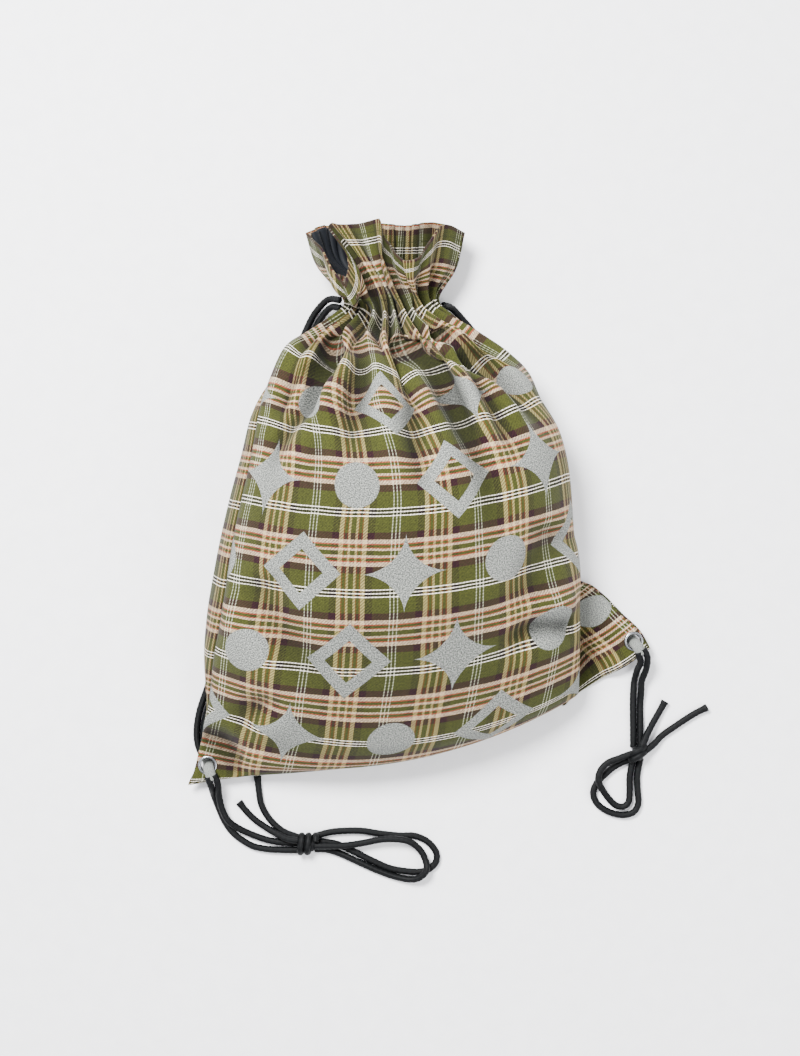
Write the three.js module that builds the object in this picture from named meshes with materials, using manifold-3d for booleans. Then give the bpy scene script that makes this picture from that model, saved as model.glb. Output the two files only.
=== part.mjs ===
// A drawstring gym bag of checked flannel, drawn shut and lying on its back, in millimetres.
// +Z is up, +Y runs towards the mouth, and the origin is on the surface under the belly.
// Two panels, a front and a back, are sewn together down both sides and along the bottom.
import * as THREE from 'three';
import { mergeVertices } from 'three/addons/utils/BufferGeometryUtils.js';
import Module from 'manifold-3d';

// Driving sizes
const WIDTH = 380;
const LENGTH = 503;
const NECK_AT = 79;
const CLOTH = 2;
const SEAM_GAP = 0.3;
const HEM_ROUND = 3;
const LAYERS = 2 * CLOTH + 0.75;
const CORD = 4.8;
const EYELET = { bore: 5, barrel: 5.5, flange: 7, lip: 0.8, hole: 5.9 };
const LEFT_EYELET = { x: -140.3, y: -172.9 };
const RIGHT_EYELET = { x: 170.4, y: -82.6 };
const EAR_LIFT = 7.5;
const EAR_MIDDLE = EAR_LIFT + LAYERS / 2;
const SLEEVE = { wide: 8.4, thick: 5.2 };

// Cross-sections of the filled bag, one row for each, measured down the cloth from the rim.
// wideL and wideR are its widest points at height wideZ, crest is its top, floor its underside,
// and yL, yC and yR say how the section bows. The left seam lies the distance "over" above the
// left widest point. The cloth of the front at "turn" is at the right widest point, and the right
// seam lies the distance "under" past it, at seamY.
const SECTIONS = [
  { v: 79, wideL: -41, wideR: 29, wideZ: 27, crestX: -6, crestZ: 51, floor: 5, yL: 161, yC: 154, yR: 164, over: 2, turn: 376, under: 2, seamY: 164 },
  { v: 110, wideL: -67, wideR: 50, wideZ: 34, crestX: -8, crestZ: 74, floor: 2, yL: 143, yC: 134, yR: 148, over: 6, turn: 350, under: 16, seamY: 146 },
  { v: 139, wideL: -84, wideR: 78, wideZ: 42, crestX: -4, crestZ: 92, floor: 0, yL: 131, yC: 111, yR: 127, over: 8, turn: 330, under: 36, seamY: 124 },
  { v: 168, wideL: -99, wideR: 93, wideZ: 42, crestX: -3, crestZ: 103, floor: -1, yL: 99, yC: 90, yR: 113, over: 12, turn: 320, under: 50, seamY: 110 },
  { v: 199, wideL: -107, wideR: 103.5, wideZ: 41, crestX: -2, crestZ: 111, floor: -1.2, yL: 79, yC: 66, yR: 93, over: 22, turn: 312, under: 60, seamY: 92 },
  { v: 229, wideL: -114, wideR: 116, wideZ: 38, crestX: 0, crestZ: 118, floor: -1.2, yL: 52, yC: 39, yR: 66, over: 30, turn: 309, under: 66, seamY: 70 },
  { v: 259, wideL: -122, wideR: 122, wideZ: 36, crestX: 0, crestZ: 120, floor: -1.2, yL: 24, yC: 11, yR: 37, over: 34, turn: 307, under: 70, seamY: 46 },
  { v: 319, wideL: -134, wideR: 126, wideZ: 33, crestX: 0, crestZ: 113, floor: -1.2, yL: -31, yC: -44, yR: -19, over: 34, turn: 303, under: 66, seamY: 6 },
  { v: 355, wideL: -139, wideR: 128, wideZ: 31, crestX: 0, crestZ: 99, floor: -1.2, yL: -64, yC: -77, yR: -48, over: 28, turn: 296, under: 44, seamY: -16 },
  { v: 391, wideL: -141.5, wideR: 130, wideZ: 27, crestX: 0, crestZ: 82, floor: -1.2, yL: -94, yC: -110, yR: -80, over: 18, turn: 290, under: 26, seamY: -34 },
  { v: 439, wideL: -140, wideR: 130, wideZ: 20, crestX: 0, crestZ: 57, floor: -1.2, yL: -130, yC: -152, yR: -114, over: 4, turn: 290, under: 18, seamY: -78 },
  { v: 456, wideL: -143, wideR: 130, wideZ: 14, crestX: -4, crestZ: 45, floor: -1.2, yL: -145, yC: -162, yR: -120, over: 1, turn: 290, under: 12, seamY: -98 },
  { v: 472, wideL: -147, wideR: 129, wideZ: 9, crestX: -8, crestZ: 31, floor: -0.8, yL: -163, yC: -170, yR: -122, over: 0, turn: 290, under: 6, seamY: -112 },
  { v: 490, wideL: -151, wideR: 124, wideZ: 5, crestX: -10, crestZ: 16, floor: -0.4, yL: -179, yC: -169, yR: -125, over: 0, turn: 290, under: 2, seamY: -123 },
  { v: 499, wideL: -154, wideR: 121, wideZ: 2.5, crestX: -10, crestZ: 7, floor: 0, yL: -185, yC: -165, yR: -128, over: 0, turn: 290, under: 0.5, seamY: -127.5 },
  { v: 503, wideL: -155, wideR: 119, wideZ: 2.15, crestX: -10, crestZ: 2.3, floor: 2, yL: -188, yC: -162, yR: -130, over: 0, turn: 290, under: 0, seamY: -130 },
];

// The right ear's two edges: the side seam, "up" from the corner, and the bottom seam, "in" from it.
const EAR_SIDE = [
  { up: 0, x: 183, y: -88 },
  { up: 20, x: 176, y: -75.5 },
  { up: 46, x: 161.5, y: -61.5 },
  { up: 66, x: 152, y: -51.5 },
  { up: 112, x: 129, y: -33 },
];
const EAR_FOOT = [
  { in: 0, x: 183, y: -88 },
  { in: 24, x: 165, y: -101 },
  { in: 57, x: 142.6, y: -113.5 },
  { in: 90, x: 119, y: -130 },
];

// The ruffle above the drawn neck, a row for each lobe or fold of the front, then of the back.
const FRONT_RUFFLE = [
  { u: 0, rimX: -68, rimY: 212, rimZ: 34, midX: -61, midY: 190, midZ: 30 },
  { u: 34, rimX: -56, rimY: 195, rimZ: 52, midX: -53, midY: 178, midZ: 45 },
  { u: 72, rimX: -40, rimY: 170, rimZ: 62, midX: -34, midY: 155, midZ: 60 },
  { u: 106, rimX: -36, rimY: 187, rimZ: 50, midX: -25, midY: 168, midZ: 55 },
  { u: 145, rimX: -51, rimY: 218, rimZ: 39, midX: -29, midY: 189, midZ: 45 },
  { u: 185, rimX: -32, rimY: 216, rimZ: 50, midX: -22, midY: 188, midZ: 51 },
  { u: 222, rimX: -15, rimY: 218, rimZ: 63, midX: -13, midY: 189, midZ: 58 },
  { u: 250, rimX: -8, rimY: 200, rimZ: 56, midX: -5, midY: 184, midZ: 52 },
  { u: 275, rimX: 2, rimY: 188, rimZ: 62, midX: 4, midY: 174, midZ: 58 },
  { u: 305, rimX: 15, rimY: 191, rimZ: 58, midX: 14, midY: 177, midZ: 54 },
  { u: 335, rimX: 25, rimY: 208, rimZ: 50, midX: 23, midY: 186, midZ: 47 },
  { u: 358, rimX: 35, rimY: 217, rimZ: 41, midX: 32, midY: 189, midZ: 37 },
  { u: 380, rimX: 47, rimY: 213, rimZ: 28, midX: 41, midY: 188, midZ: 26 },
];
const BACK_RUFFLE = [
  { u: 0, rimX: -68, rimY: 212, rimZ: 34, midX: -61, midY: 190, midZ: 30 },
  { u: 50, rimX: -56, rimY: 220, rimZ: 17, midX: -52, midY: 192, midZ: 12 },
  { u: 110, rimX: -38, rimY: 219, rimZ: 9, midX: -35, midY: 192, midZ: 6 },
  { u: 170, rimX: -16, rimY: 222, rimZ: 15, midX: -15, midY: 192, midZ: 8 },
  { u: 230, rimX: 4, rimY: 221, rimZ: 8, midX: 3, midY: 192, midZ: 5 },
  { u: 290, rimX: 22, rimY: 223, rimZ: 13, midX: 20, midY: 192, midZ: 7 },
  { u: 335, rimX: 37, rimY: 220, rimZ: 14, midX: 34, midY: 190, midZ: 10 },
  { u: 380, rimX: 47, rimY: 213, rimZ: 28, midX: 41, midY: 188, midZ: 26 },
];
const RUFFLE_MID_AT = 40;

// Gathers: how deep the pleats are at each distance from the rim, front and back.
const PLEATS = [
  { v: 0, front: 0, back: 0 },
  { v: 40, front: 1.5, back: 1 },
  { v: 79, front: 6, back: 4 },
  { v: 110, front: 8, back: 6 },
  { v: 139, front: 6, back: 7 },
  { v: 199, front: 2.5, back: 2.5 },
  { v: 240, front: 1, back: 0 },
  { v: 290, front: 0, back: 0 },
];
const PLEAT_COUNT = 8;

// Creases of the front that run down from the neck. Each row gives where the crease lies across
// the cloth at its top and at its foot, how wide and how deep it is, and where it dies out.
const CREASES = [
  { top: 78, foot: 44, wide: 17, deep: 10, from: 96, to: 235 },
  { top: 196, foot: 205, wide: 15, deep: 13, from: 90, to: 320 },
  { top: 262, foot: 292, wide: 15, deep: 8, from: 96, to: 225 },
  { top: 130, foot: 118, wide: 18, deep: 5, from: 100, to: 220 },
];

const smooth = (t) => { const c = Math.min(Math.max(t, 0), 1); return c * c * (3 - 2 * c); };
const mix = (a, b, t) => a + (b - a) * t;

// A smooth curve through one column of a table, with no overshoot between its rows.
function column(table, axis, name, at) {
  const n = table.length;
  if (at <= table[0][axis]) return table[0][name];
  if (at >= table[n - 1][axis]) return table[n - 1][name];
  let i = 0;
  while (table[i + 1][axis] < at) i += 1;
  const slope = (k) => (table[k + 1][name] - table[k][name]) / (table[k + 1][axis] - table[k][axis]);
  const tangent = (k) => {
    if (k === 0) return slope(0);
    if (k === n - 1) return slope(n - 2);
    const a = slope(k - 1);
    const b = slope(k);
    return a * b <= 0 ? 0 : (2 * a * b) / (a + b);
  };
  const h = table[i + 1][axis] - table[i][axis];
  const t = (at - table[i][axis]) / h;
  const t2 = t * t;
  const t3 = t2 * t;
  return (2 * t3 - 3 * t2 + 1) * table[i][name] + (t3 - 2 * t2 + t) * h * tangent(i)
    + (3 * t2 - 2 * t3) * table[i + 1][name] + (t3 - t2) * h * tangent(i + 1);
}

// One section of the bag as a closed ring in X and Z: a half ellipse over the top, and a flatter
// half below that is level where it lies on the surface.
const RING_STEPS = 60;
function ring(v) {
  const s = {};
  for (const name of Object.keys(SECTIONS[0])) {
    if (name !== 'v') s[name] = column(SECTIONS, 'v', name, v);
  }
  const roundBelow = mix(1, 0.5, smooth((v - 90) / 70));
  const roundAbove = mix(1, 0.62, smooth((v - 450) / 35));
  const points = [];
  for (let i = 0; i < 2 * RING_STEPS; i += 1) {
    const turn = Math.PI * (1 - i / RING_STEPS);
    const c = Math.cos(turn);
    const d = Math.sin(turn);
    const above = i <= RING_STEPS;
    const power = above ? roundAbove : roundBelow;
    const x = s.crestX + (c < 0 ? s.crestX - s.wideL : s.wideR - s.crestX) * Math.sign(c) * Math.abs(c) ** power;
    const rise = above ? s.crestZ - s.wideZ : s.wideZ - s.floor;
    const z = s.wideZ + rise * Math.sign(d) * Math.abs(d) ** power;
    points.push({ x, z: Math.max(z, 0) });
  }
  return { s, points };
}

// Lengths along a row of points, for finding the point a given way along it.
function walk(points) {
  const along = [0];
  for (let i = 1; i < points.length; i += 1) {
    along.push(along[i - 1] + Math.hypot(points[i].x - points[i - 1].x, points[i].z - points[i - 1].z));
  }
  return along;
}
function pointAt(points, along, distance) {
  let i = 1;
  while (i < points.length - 1 && along[i] < distance) i += 1;
  const t = Math.min(Math.max((distance - along[i - 1]) / (along[i] - along[i - 1] || 1), 0), 1);
  const x = mix(points[i - 1].x, points[i].x, t);
  const z = mix(points[i - 1].z, points[i].z, t);
  const nx = -(points[i].z - points[i - 1].z);
  const nz = points[i].x - points[i - 1].x;
  const size = Math.hypot(nx, nz) || 1;
  return { x, z, nx: nx / size, nz: nz / size };
}

// The curve y = f(x) through the left end, the crest and the right end of a section.
function bow(s, x) {
  const xs = [s.wideL, s.crestX, s.wideR];
  const ys = [s.yL, s.yC, s.yR];
  let y = 0;
  for (let i = 0; i < 3; i += 1) {
    const [j, k] = [(i + 1) % 3, (i + 2) % 3];
    y += ys[i] * ((x - xs[j]) * (x - xs[k])) / ((xs[i] - xs[j]) * (xs[i] - xs[k]));
  }
  return y;
}

// How far the cloth is drawn in at a place, by the gathers and, on the front, by its creases.
function drawnIn(side, u, v) {
  const depth = column(PLEATS, 'v', side, v);
  let inward = depth * (0.5 - 0.5 * Math.cos((2 * Math.PI * PLEAT_COUNT * u) / WIDTH));
  if (side === 'front') {
    for (const crease of CREASES) {
      const t = (v - crease.from) / (crease.to - crease.from);
      if (t <= 0 || t >= 1) continue;
      const centre = mix(crease.top, crease.foot, t);
      const fade = smooth(t / 0.15) * smooth((1 - t) / 0.6);
      inward += crease.deep * fade * Math.exp(-(((u - centre) / crease.wide) ** 2));
    }
  }
  return inward * smooth(Math.min(u, WIDTH - u) / 36);
}

// A point of the filled body, from the neck to the bottom seam. In the lower part, the cloth
// between "turn" and the right seam runs out into the ear.
const ringCache = new Map();
function bodyPoint(side, u, v) {
  if (!ringCache.has(v)) {
    const r = ring(v);
    const half = walk(r.points.slice(0, RING_STEPS + 1))[RING_STEPS];
    const loop = [...r.points, r.points[0]];
    ringCache.set(v, { ...r, half, loop, along: walk(loop) });
  }
  const { s, half, loop, along } = ringCache.get(v);
  const total = along[along.length - 1];
  const leftSeam = s.over;
  const rightSeam = half + s.under;
  const backTurn = mix(WIDTH, s.turn, smooth((v - 373) / 42));
  let place;
  let y;
  if (side === 'back') {
    const share = Math.min(u / backTurn, 1);
    place = mix(leftSeam + total, rightSeam, share) % total;
    y = mix(bow(s, pointAt(loop, along, leftSeam).x), s.seamY, share);
  } else if (u <= s.turn) {
    place = mix(leftSeam, half, u / s.turn);
    y = bow(s, pointAt(loop, along, place).x);
  } else {
    const share = (u - s.turn) / (WIDTH - s.turn);
    place = mix(half, rightSeam, share);
    y = mix(s.yR, s.seamY, smooth(share));
  }
  const p = pointAt(loop, along, place);
  const inward = drawnIn(side, u, v);
  return new THREE.Vector3(p.x - p.nx * inward, y, Math.max(p.z - p.nz * inward, 0));
}

// How far a place belongs to the right ear, and where the ear lies.
function earShare(side, u, v) {
  const spread = side === 'front' ? 50 : mix(90, 50, smooth((v - 430) / 40));
  const across = 1 - smooth((WIDTH - u - 40) / spread);
  const down = 1 - smooth((LENGTH - v - 88) / 42);
  return across * down;
}
function earPoint(side, inward, up) {
  const x = column(EAR_SIDE, 'up', 'x', up) + column(EAR_FOOT, 'in', 'x', inward) - EAR_FOOT[0].x;
  const y = column(EAR_SIDE, 'up', 'y', up) + column(EAR_FOOT, 'in', 'y', inward) - EAR_FOOT[0].y;
  const layer = side === 'front' ? LAYERS : 0;
  return new THREE.Vector3(x, y, layer * Math.min(Math.min(inward, up) / HEM_ROUND, 1));
}

// The ears and the edge of the body are raised where the doubled cord runs under them.
const UNDERPASSES = [
  [[-144, -126], [-147, -145], [-145, -158], [LEFT_EYELET.x, LEFT_EYELET.y]],
  [[120, -30], [123, -37], [130, -48], [141, -57], [153, -65.5], [RIGHT_EYELET.x, RIGHT_EYELET.y]],
];
function liftAt(p) {
  let away = Infinity;
  for (const path of UNDERPASSES) {
    for (let i = 1; i < path.length; i += 1) {
      const [ax, ay] = path[i - 1];
      const [bx, by] = path[i];
      const t = ((p.x - ax) * (bx - ax) + (p.y - ay) * (by - ay)) / ((bx - ax) ** 2 + (by - ay) ** 2);
      const c = Math.min(Math.max(t, 0), 1);
      away = Math.min(away, Math.hypot(p.x - mix(ax, bx, c), p.y - mix(ay, by, c)));
    }
  }
  return EAR_LIFT * (1 - smooth((away - 8) / 30)) * (1 - smooth((p.z - 8) / 32));
}
function flatNearEyelet(side, p, edge) {
  const layer = (LAYERS / 2) * Math.min(edge / HEM_ROUND, 1) * (side === 'front' ? 1 : -1);
  const level = EAR_MIDDLE + layer;
  for (const eyelet of [LEFT_EYELET, RIGHT_EYELET]) {
    const away = Math.hypot(p.x - eyelet.x, p.y - eyelet.y);
    p.z = mix(p.z, level, 1 - smooth((away - 20) / 14));
  }
}

// The ruffle: from the neck through the middle row of its table to the rim.
function rufflePoint(side, u, v) {
  const table = side === 'front' ? FRONT_RUFFLE : BACK_RUFFLE;
  const row = (kind) => new THREE.Vector3(
    column(table, 'u', `${kind}X`, u), column(table, 'u', `${kind}Y`, u), column(table, 'u', `${kind}Z`, u));
  const levels = [bodyPoint(side, u, 110), bodyPoint(side, u, NECK_AT), row('mid'), row('rim')];
  const curve = new THREE.CatmullRomCurve3(levels, false, 'centripetal');
  const upper = (NECK_AT - v) / (NECK_AT - RUFFLE_MID_AT);
  const t = upper <= 1 ? (1 + upper) / 3 : (2 + (RUFFLE_MID_AT - v) / RUFFLE_MID_AT) / 3;
  return curve.getPoint(Math.min(t, 1));
}

// The outer face of a panel at a place on its flat cloth.
function panelPoint(side, u, v) {
  if (v < NECK_AT) return rufflePoint(side, u, v);
  const p = bodyPoint(side, u, v);
  const share = earShare(side, u, v);
  if (share > 0) p.lerp(earPoint(side, WIDTH - u, LENGTH - v), share);
  p.z += liftAt(p);
  flatNearEyelet(side, p, Math.min(u, WIDTH - u, LENGTH - v));
  return p;
}

// Rows and columns of a panel's mesh, closer together at the seams and in the ruffle.
const COLUMNS = 30;
const across = [0, HEM_ROUND];
for (let i = 1; i < COLUMNS; i += 1) across.push((WIDTH * i) / COLUMNS);
across.push(WIDTH - HEM_ROUND, WIDTH);
const down = [0, 13, 26, 40, 53, 66, 79, 92, 106];
for (let v = 122; v < 430; v += 20) down.push(v);
down.push(439, 455, 470, 483, 493, LENGTH - HEM_ROUND, LENGTH);

// Two faces stay far enough apart for the cloth inside both: back to back they need two layers,
// side by side none. "facing" is 1 where they face the same way and -1 where they are opposed.
function keepApart(front, back, facing) {
  const between = front.clone().sub(back);
  const room = LAYERS - 2 * CLOTH + 2 * CLOTH * Math.sqrt((1 - facing) / 2);
  const short = room - between.length();
  if (short <= 0) return;
  front.addScaledVector(between.setLength(1), short / 2);
  back.addScaledVector(between, -short / 2);
  const sunk = Math.max(-back.z, -front.z, 0);
  front.z += sunk;
  back.z += sunk;
}

// A panel as one closed sheet: its outer face, its inner face a cloth thickness inside, and the
// cut edges. Along a seam the two panels share the seam's line and stop just short of each other.
function panelGrids() {
  const faces = {};
  for (const side of ['front', 'back']) {
    faces[side] = across.map((u) => down.map((v) => panelPoint(side, u, v)));
  }
  const last = across.length - 1;
  const foot = down.length - 1;
  const normal = (side, i, j) => {
    const grid = faces[side];
    const alongU = grid[Math.min(i + 1, last)][j].clone().sub(grid[Math.max(i - 1, 0)][j]);
    const alongV = grid[i][Math.min(j + 1, foot)].clone().sub(grid[i][Math.max(j - 1, 0)]);
    const n = side === 'front' ? alongV.cross(alongU) : alongU.cross(alongV);
    return n.normalize();
  };
  for (let i = 1; i < last; i += 1) {
    for (let j = 0; j < foot; j += 1) {
      keepApart(faces.front[i][j], faces.back[i][j], normal('front', i, j).dot(normal('back', i, j)));
    }
  }
  const sheets = {};
  for (const side of ['front', 'back']) {
    const other = side === 'front' ? 'back' : 'front';
    const outer = [];
    const inner = [];
    const out = [];
    for (let i = 0; i <= last; i += 1) {
      outer.push([]);
      inner.push([]);
      out.push([]);
      for (let j = 0; j <= foot; j += 1) {
        const p = faces[side][i][j].clone();
        const n = normal(side, i, j);
        const atSeam = i === 0 || i === last || j === foot;
        if (atSeam) {
          const q = faces[other][i][j];
          p.add(q).multiplyScalar(0.5);
          const m = normal(other, i, j);
          const outward = n.clone().add(m).normalize();
          const apart = n.clone().sub(m).normalize().multiplyScalar(SEAM_GAP / 2);
          p.add(apart);
          n.copy(outward);
        }
        outer[i].push(p);
        inner[i].push(p.clone().addScaledVector(n, -CLOTH));
        out[i].push(n);
      }
    }
    sheets[side] = { outer, inner, out };
  }
  return sheets;
}

// Where the inner faces of the two panels meet, near a seam, both are squeezed thinner.
const THINNEST = 0.9;
const CLEAR = 0.35;
function squeeze({ front, back }) {
  const moves = [];
  for (const [panel, other] of [[front, back], [back, front]]) {
    for (let i = 1; i < across.length - 1; i += 1) {
      for (let j = 0; j < down.length - 1; j += 1) {
        const p = panel.inner[i][j];
        let nearest = 9;
        let need = 0;
        for (let k = 1; k < across.length - 1; k += 1) {
          for (let m = 0; m < down.length - 1; m += 1) {
            const q = other.inner[k][m];
            const reach = p.distanceTo(q);
            if (reach >= nearest) continue;
            nearest = reach;
            const past = p.clone().sub(q).dot(other.out[k][m]) + CLEAR;
            const facing = -panel.out[i][j].dot(other.out[k][m]);
            need = past > 0 && facing > 0.2 ? past / facing : 0;
          }
        }
        if (need > 0) moves.push([p, panel.out[i][j], Math.min(need, CLOTH - THINNEST)]);
      }
    }
  }
  for (const [p, way, by] of moves) p.addScaledVector(way, by);
}

function closedSheet({ outer, inner }, flip) {
  const columns = outer.length;
  const rows = outer[0].length;
  const positions = [];
  for (const grid of [outer, inner]) {
    for (const line of grid) for (const p of line) positions.push(p.x, p.y, p.z);
  }
  const at = (layer, i, j) => (layer * columns + i) * rows + j;
  const faces = [];
  const quad = (a, b, c, d) => {
    if (flip) faces.push(a, c, b, a, d, c);
    else faces.push(a, b, c, a, c, d);
  };
  for (let i = 0; i < columns - 1; i += 1) {
    for (let j = 0; j < rows - 1; j += 1) {
      quad(at(0, i, j), at(0, i, j + 1), at(0, i + 1, j + 1), at(0, i + 1, j));
      quad(at(1, i, j), at(1, i + 1, j), at(1, i + 1, j + 1), at(1, i, j + 1));
    }
    quad(at(0, i, 0), at(0, i + 1, 0), at(1, i + 1, 0), at(1, i, 0));
    quad(at(0, i + 1, rows - 1), at(0, i, rows - 1), at(1, i, rows - 1), at(1, i + 1, rows - 1));
  }
  for (let j = 0; j < rows - 1; j += 1) {
    quad(at(0, 0, j + 1), at(0, 0, j), at(1, 0, j), at(1, 0, j + 1));
    quad(at(0, columns - 1, j), at(0, columns - 1, j + 1), at(1, columns - 1, j + 1), at(1, columns - 1, j));
  }
  const geometry = new THREE.BufferGeometry();
  geometry.setAttribute('position', new THREE.Float32BufferAttribute(positions, 3));
  geometry.setIndex(faces);
  return geometry;
}

// Joining and cutting of closed meshes
const wasm = await Module();
wasm.setup();
function solidOf(geometry) {
  const plain = geometry.clone();
  plain.deleteAttribute('normal');
  plain.deleteAttribute('uv');
  const merged = mergeVertices(plain, 1e-4);
  return new wasm.Manifold(new wasm.Mesh({
    numProp: 3,
    vertProperties: new Float32Array(merged.attributes.position.array),
    triVerts: new Uint32Array(merged.index.array),
  }));
}
function geometryOf(solid) {
  const mesh = solid.getMesh();
  const geometry = new THREE.BufferGeometry();
  geometry.setAttribute('position', new THREE.Float32BufferAttribute(mesh.vertProperties, 3));
  geometry.setIndex(Array.from(mesh.triVerts));
  return geometry;
}

// Finishes
const finish = (color, roughness, metalness = 0) => new THREE.MeshStandardMaterial({ color, roughness, metalness });
const FLANNEL = finish(0x7b7a45, 0.95);
const LINING = finish(0x1b2536, 0.9);
const BRAID = finish(0x2b2e30, 0.75);
const FELT = finish(0xb9bdb6, 0.95);
const SILVER = finish(0xc9ccd0, 0.25, 1);

const bag = new THREE.Group();
function addPiece(name, geometry, material) {
  const mesh = new THREE.Mesh(geometry, material);
  mesh.name = name;
  bag.add(mesh);
  return mesh;
}

// Panels, with a round hole for the eyelet in each ear
function earHoles() {
  const drill = new THREE.CylinderGeometry(EYELET.hole, EYELET.hole, 40, 20);
  drill.rotateX(Math.PI / 2);
  return [LEFT_EYELET, RIGHT_EYELET].map(({ x, y }) => solidOf(drill.clone().translate(x, y, EAR_LIFT)));
}
const sheets = panelGrids();
squeeze(sheets);
for (const side of ['front', 'back']) {
  const panel = solidOf(closedSheet(sheets[side], side === 'back'));
  const cut = earHoles().reduce((cloth, hole) => cloth.subtract(hole), panel);
  addPiece(`${side}_panel`, geometryOf(cut), FLANNEL);
}

// The dark lining that shows in the left lobe of the mouth, on the inside of the back panel
const LINING_AREA = { firstColumn: 2, lastColumn: 10, lastRow: 5, cloth: 1, gap: 0.4 };
function liningSheet(panel) {
  const { firstColumn, lastColumn, lastRow, cloth, gap } = LINING_AREA;
  const area = (grid) => grid.slice(firstColumn, lastColumn + 1).map((line) => line.slice(0, lastRow + 1));
  const out = area(panel.out);
  const moved = (way) => area(panel.inner).map((line, i) => (
    line.map((p, j) => p.clone().addScaledVector(out[i][j], -way))));
  return { outer: moved(gap), inner: moved(gap + cloth) };
}
addPiece('mouth_lining', closedSheet(liningSheet(sheets.back), true), LINING);

// Eyelets: a barrel through the ear with a flange on each face
function eyelet() {
  const { bore, barrel, flange, lip } = EYELET;
  const half = LAYERS / 2 + SEAM_GAP;
  const profile = [
    [bore, -half - lip], [flange, -half - lip * 0.6], [flange, -half], [barrel, -half],
    [barrel, half], [flange, half], [flange, half + lip * 0.6], [bore, half + lip], [bore, -half - lip],
  ];
  const ring3d = new THREE.LatheGeometry(profile.map(([r, z]) => new THREE.Vector2(r, z)), 20);
  return ring3d.rotateX(Math.PI / 2);
}
addPiece('eyelet_left', eyelet().translate(LEFT_EYELET.x, LEFT_EYELET.y, EAR_MIDDLE), SILVER);
addPiece('eyelet_right', eyelet().translate(RIGHT_EYELET.x, RIGHT_EYELET.y, EAR_MIDDLE), SILVER);

// A tube along a route of hand-set points
function tube(points, wide, thick, sides, step) {
  const route = new THREE.CatmullRomCurve3(points.map((p) => new THREE.Vector3(...p)), false, 'centripetal');
  const section = new THREE.Shape();
  for (let i = 0; i < sides; i += 1) {
    const turn = (2 * Math.PI * i) / sides;
    const [x, y] = [(thick / 2) * Math.cos(turn), (wide / 2) * Math.sin(turn)];
    if (i === 0) section.moveTo(x, y);
    else section.lineTo(x, y);
  }
  const steps = Math.max(4, Math.round(route.getLength() / step));
  return new THREE.ExtrudeGeometry(section, { extrudePath: route, steps, bevelEnabled: false });
}

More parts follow.
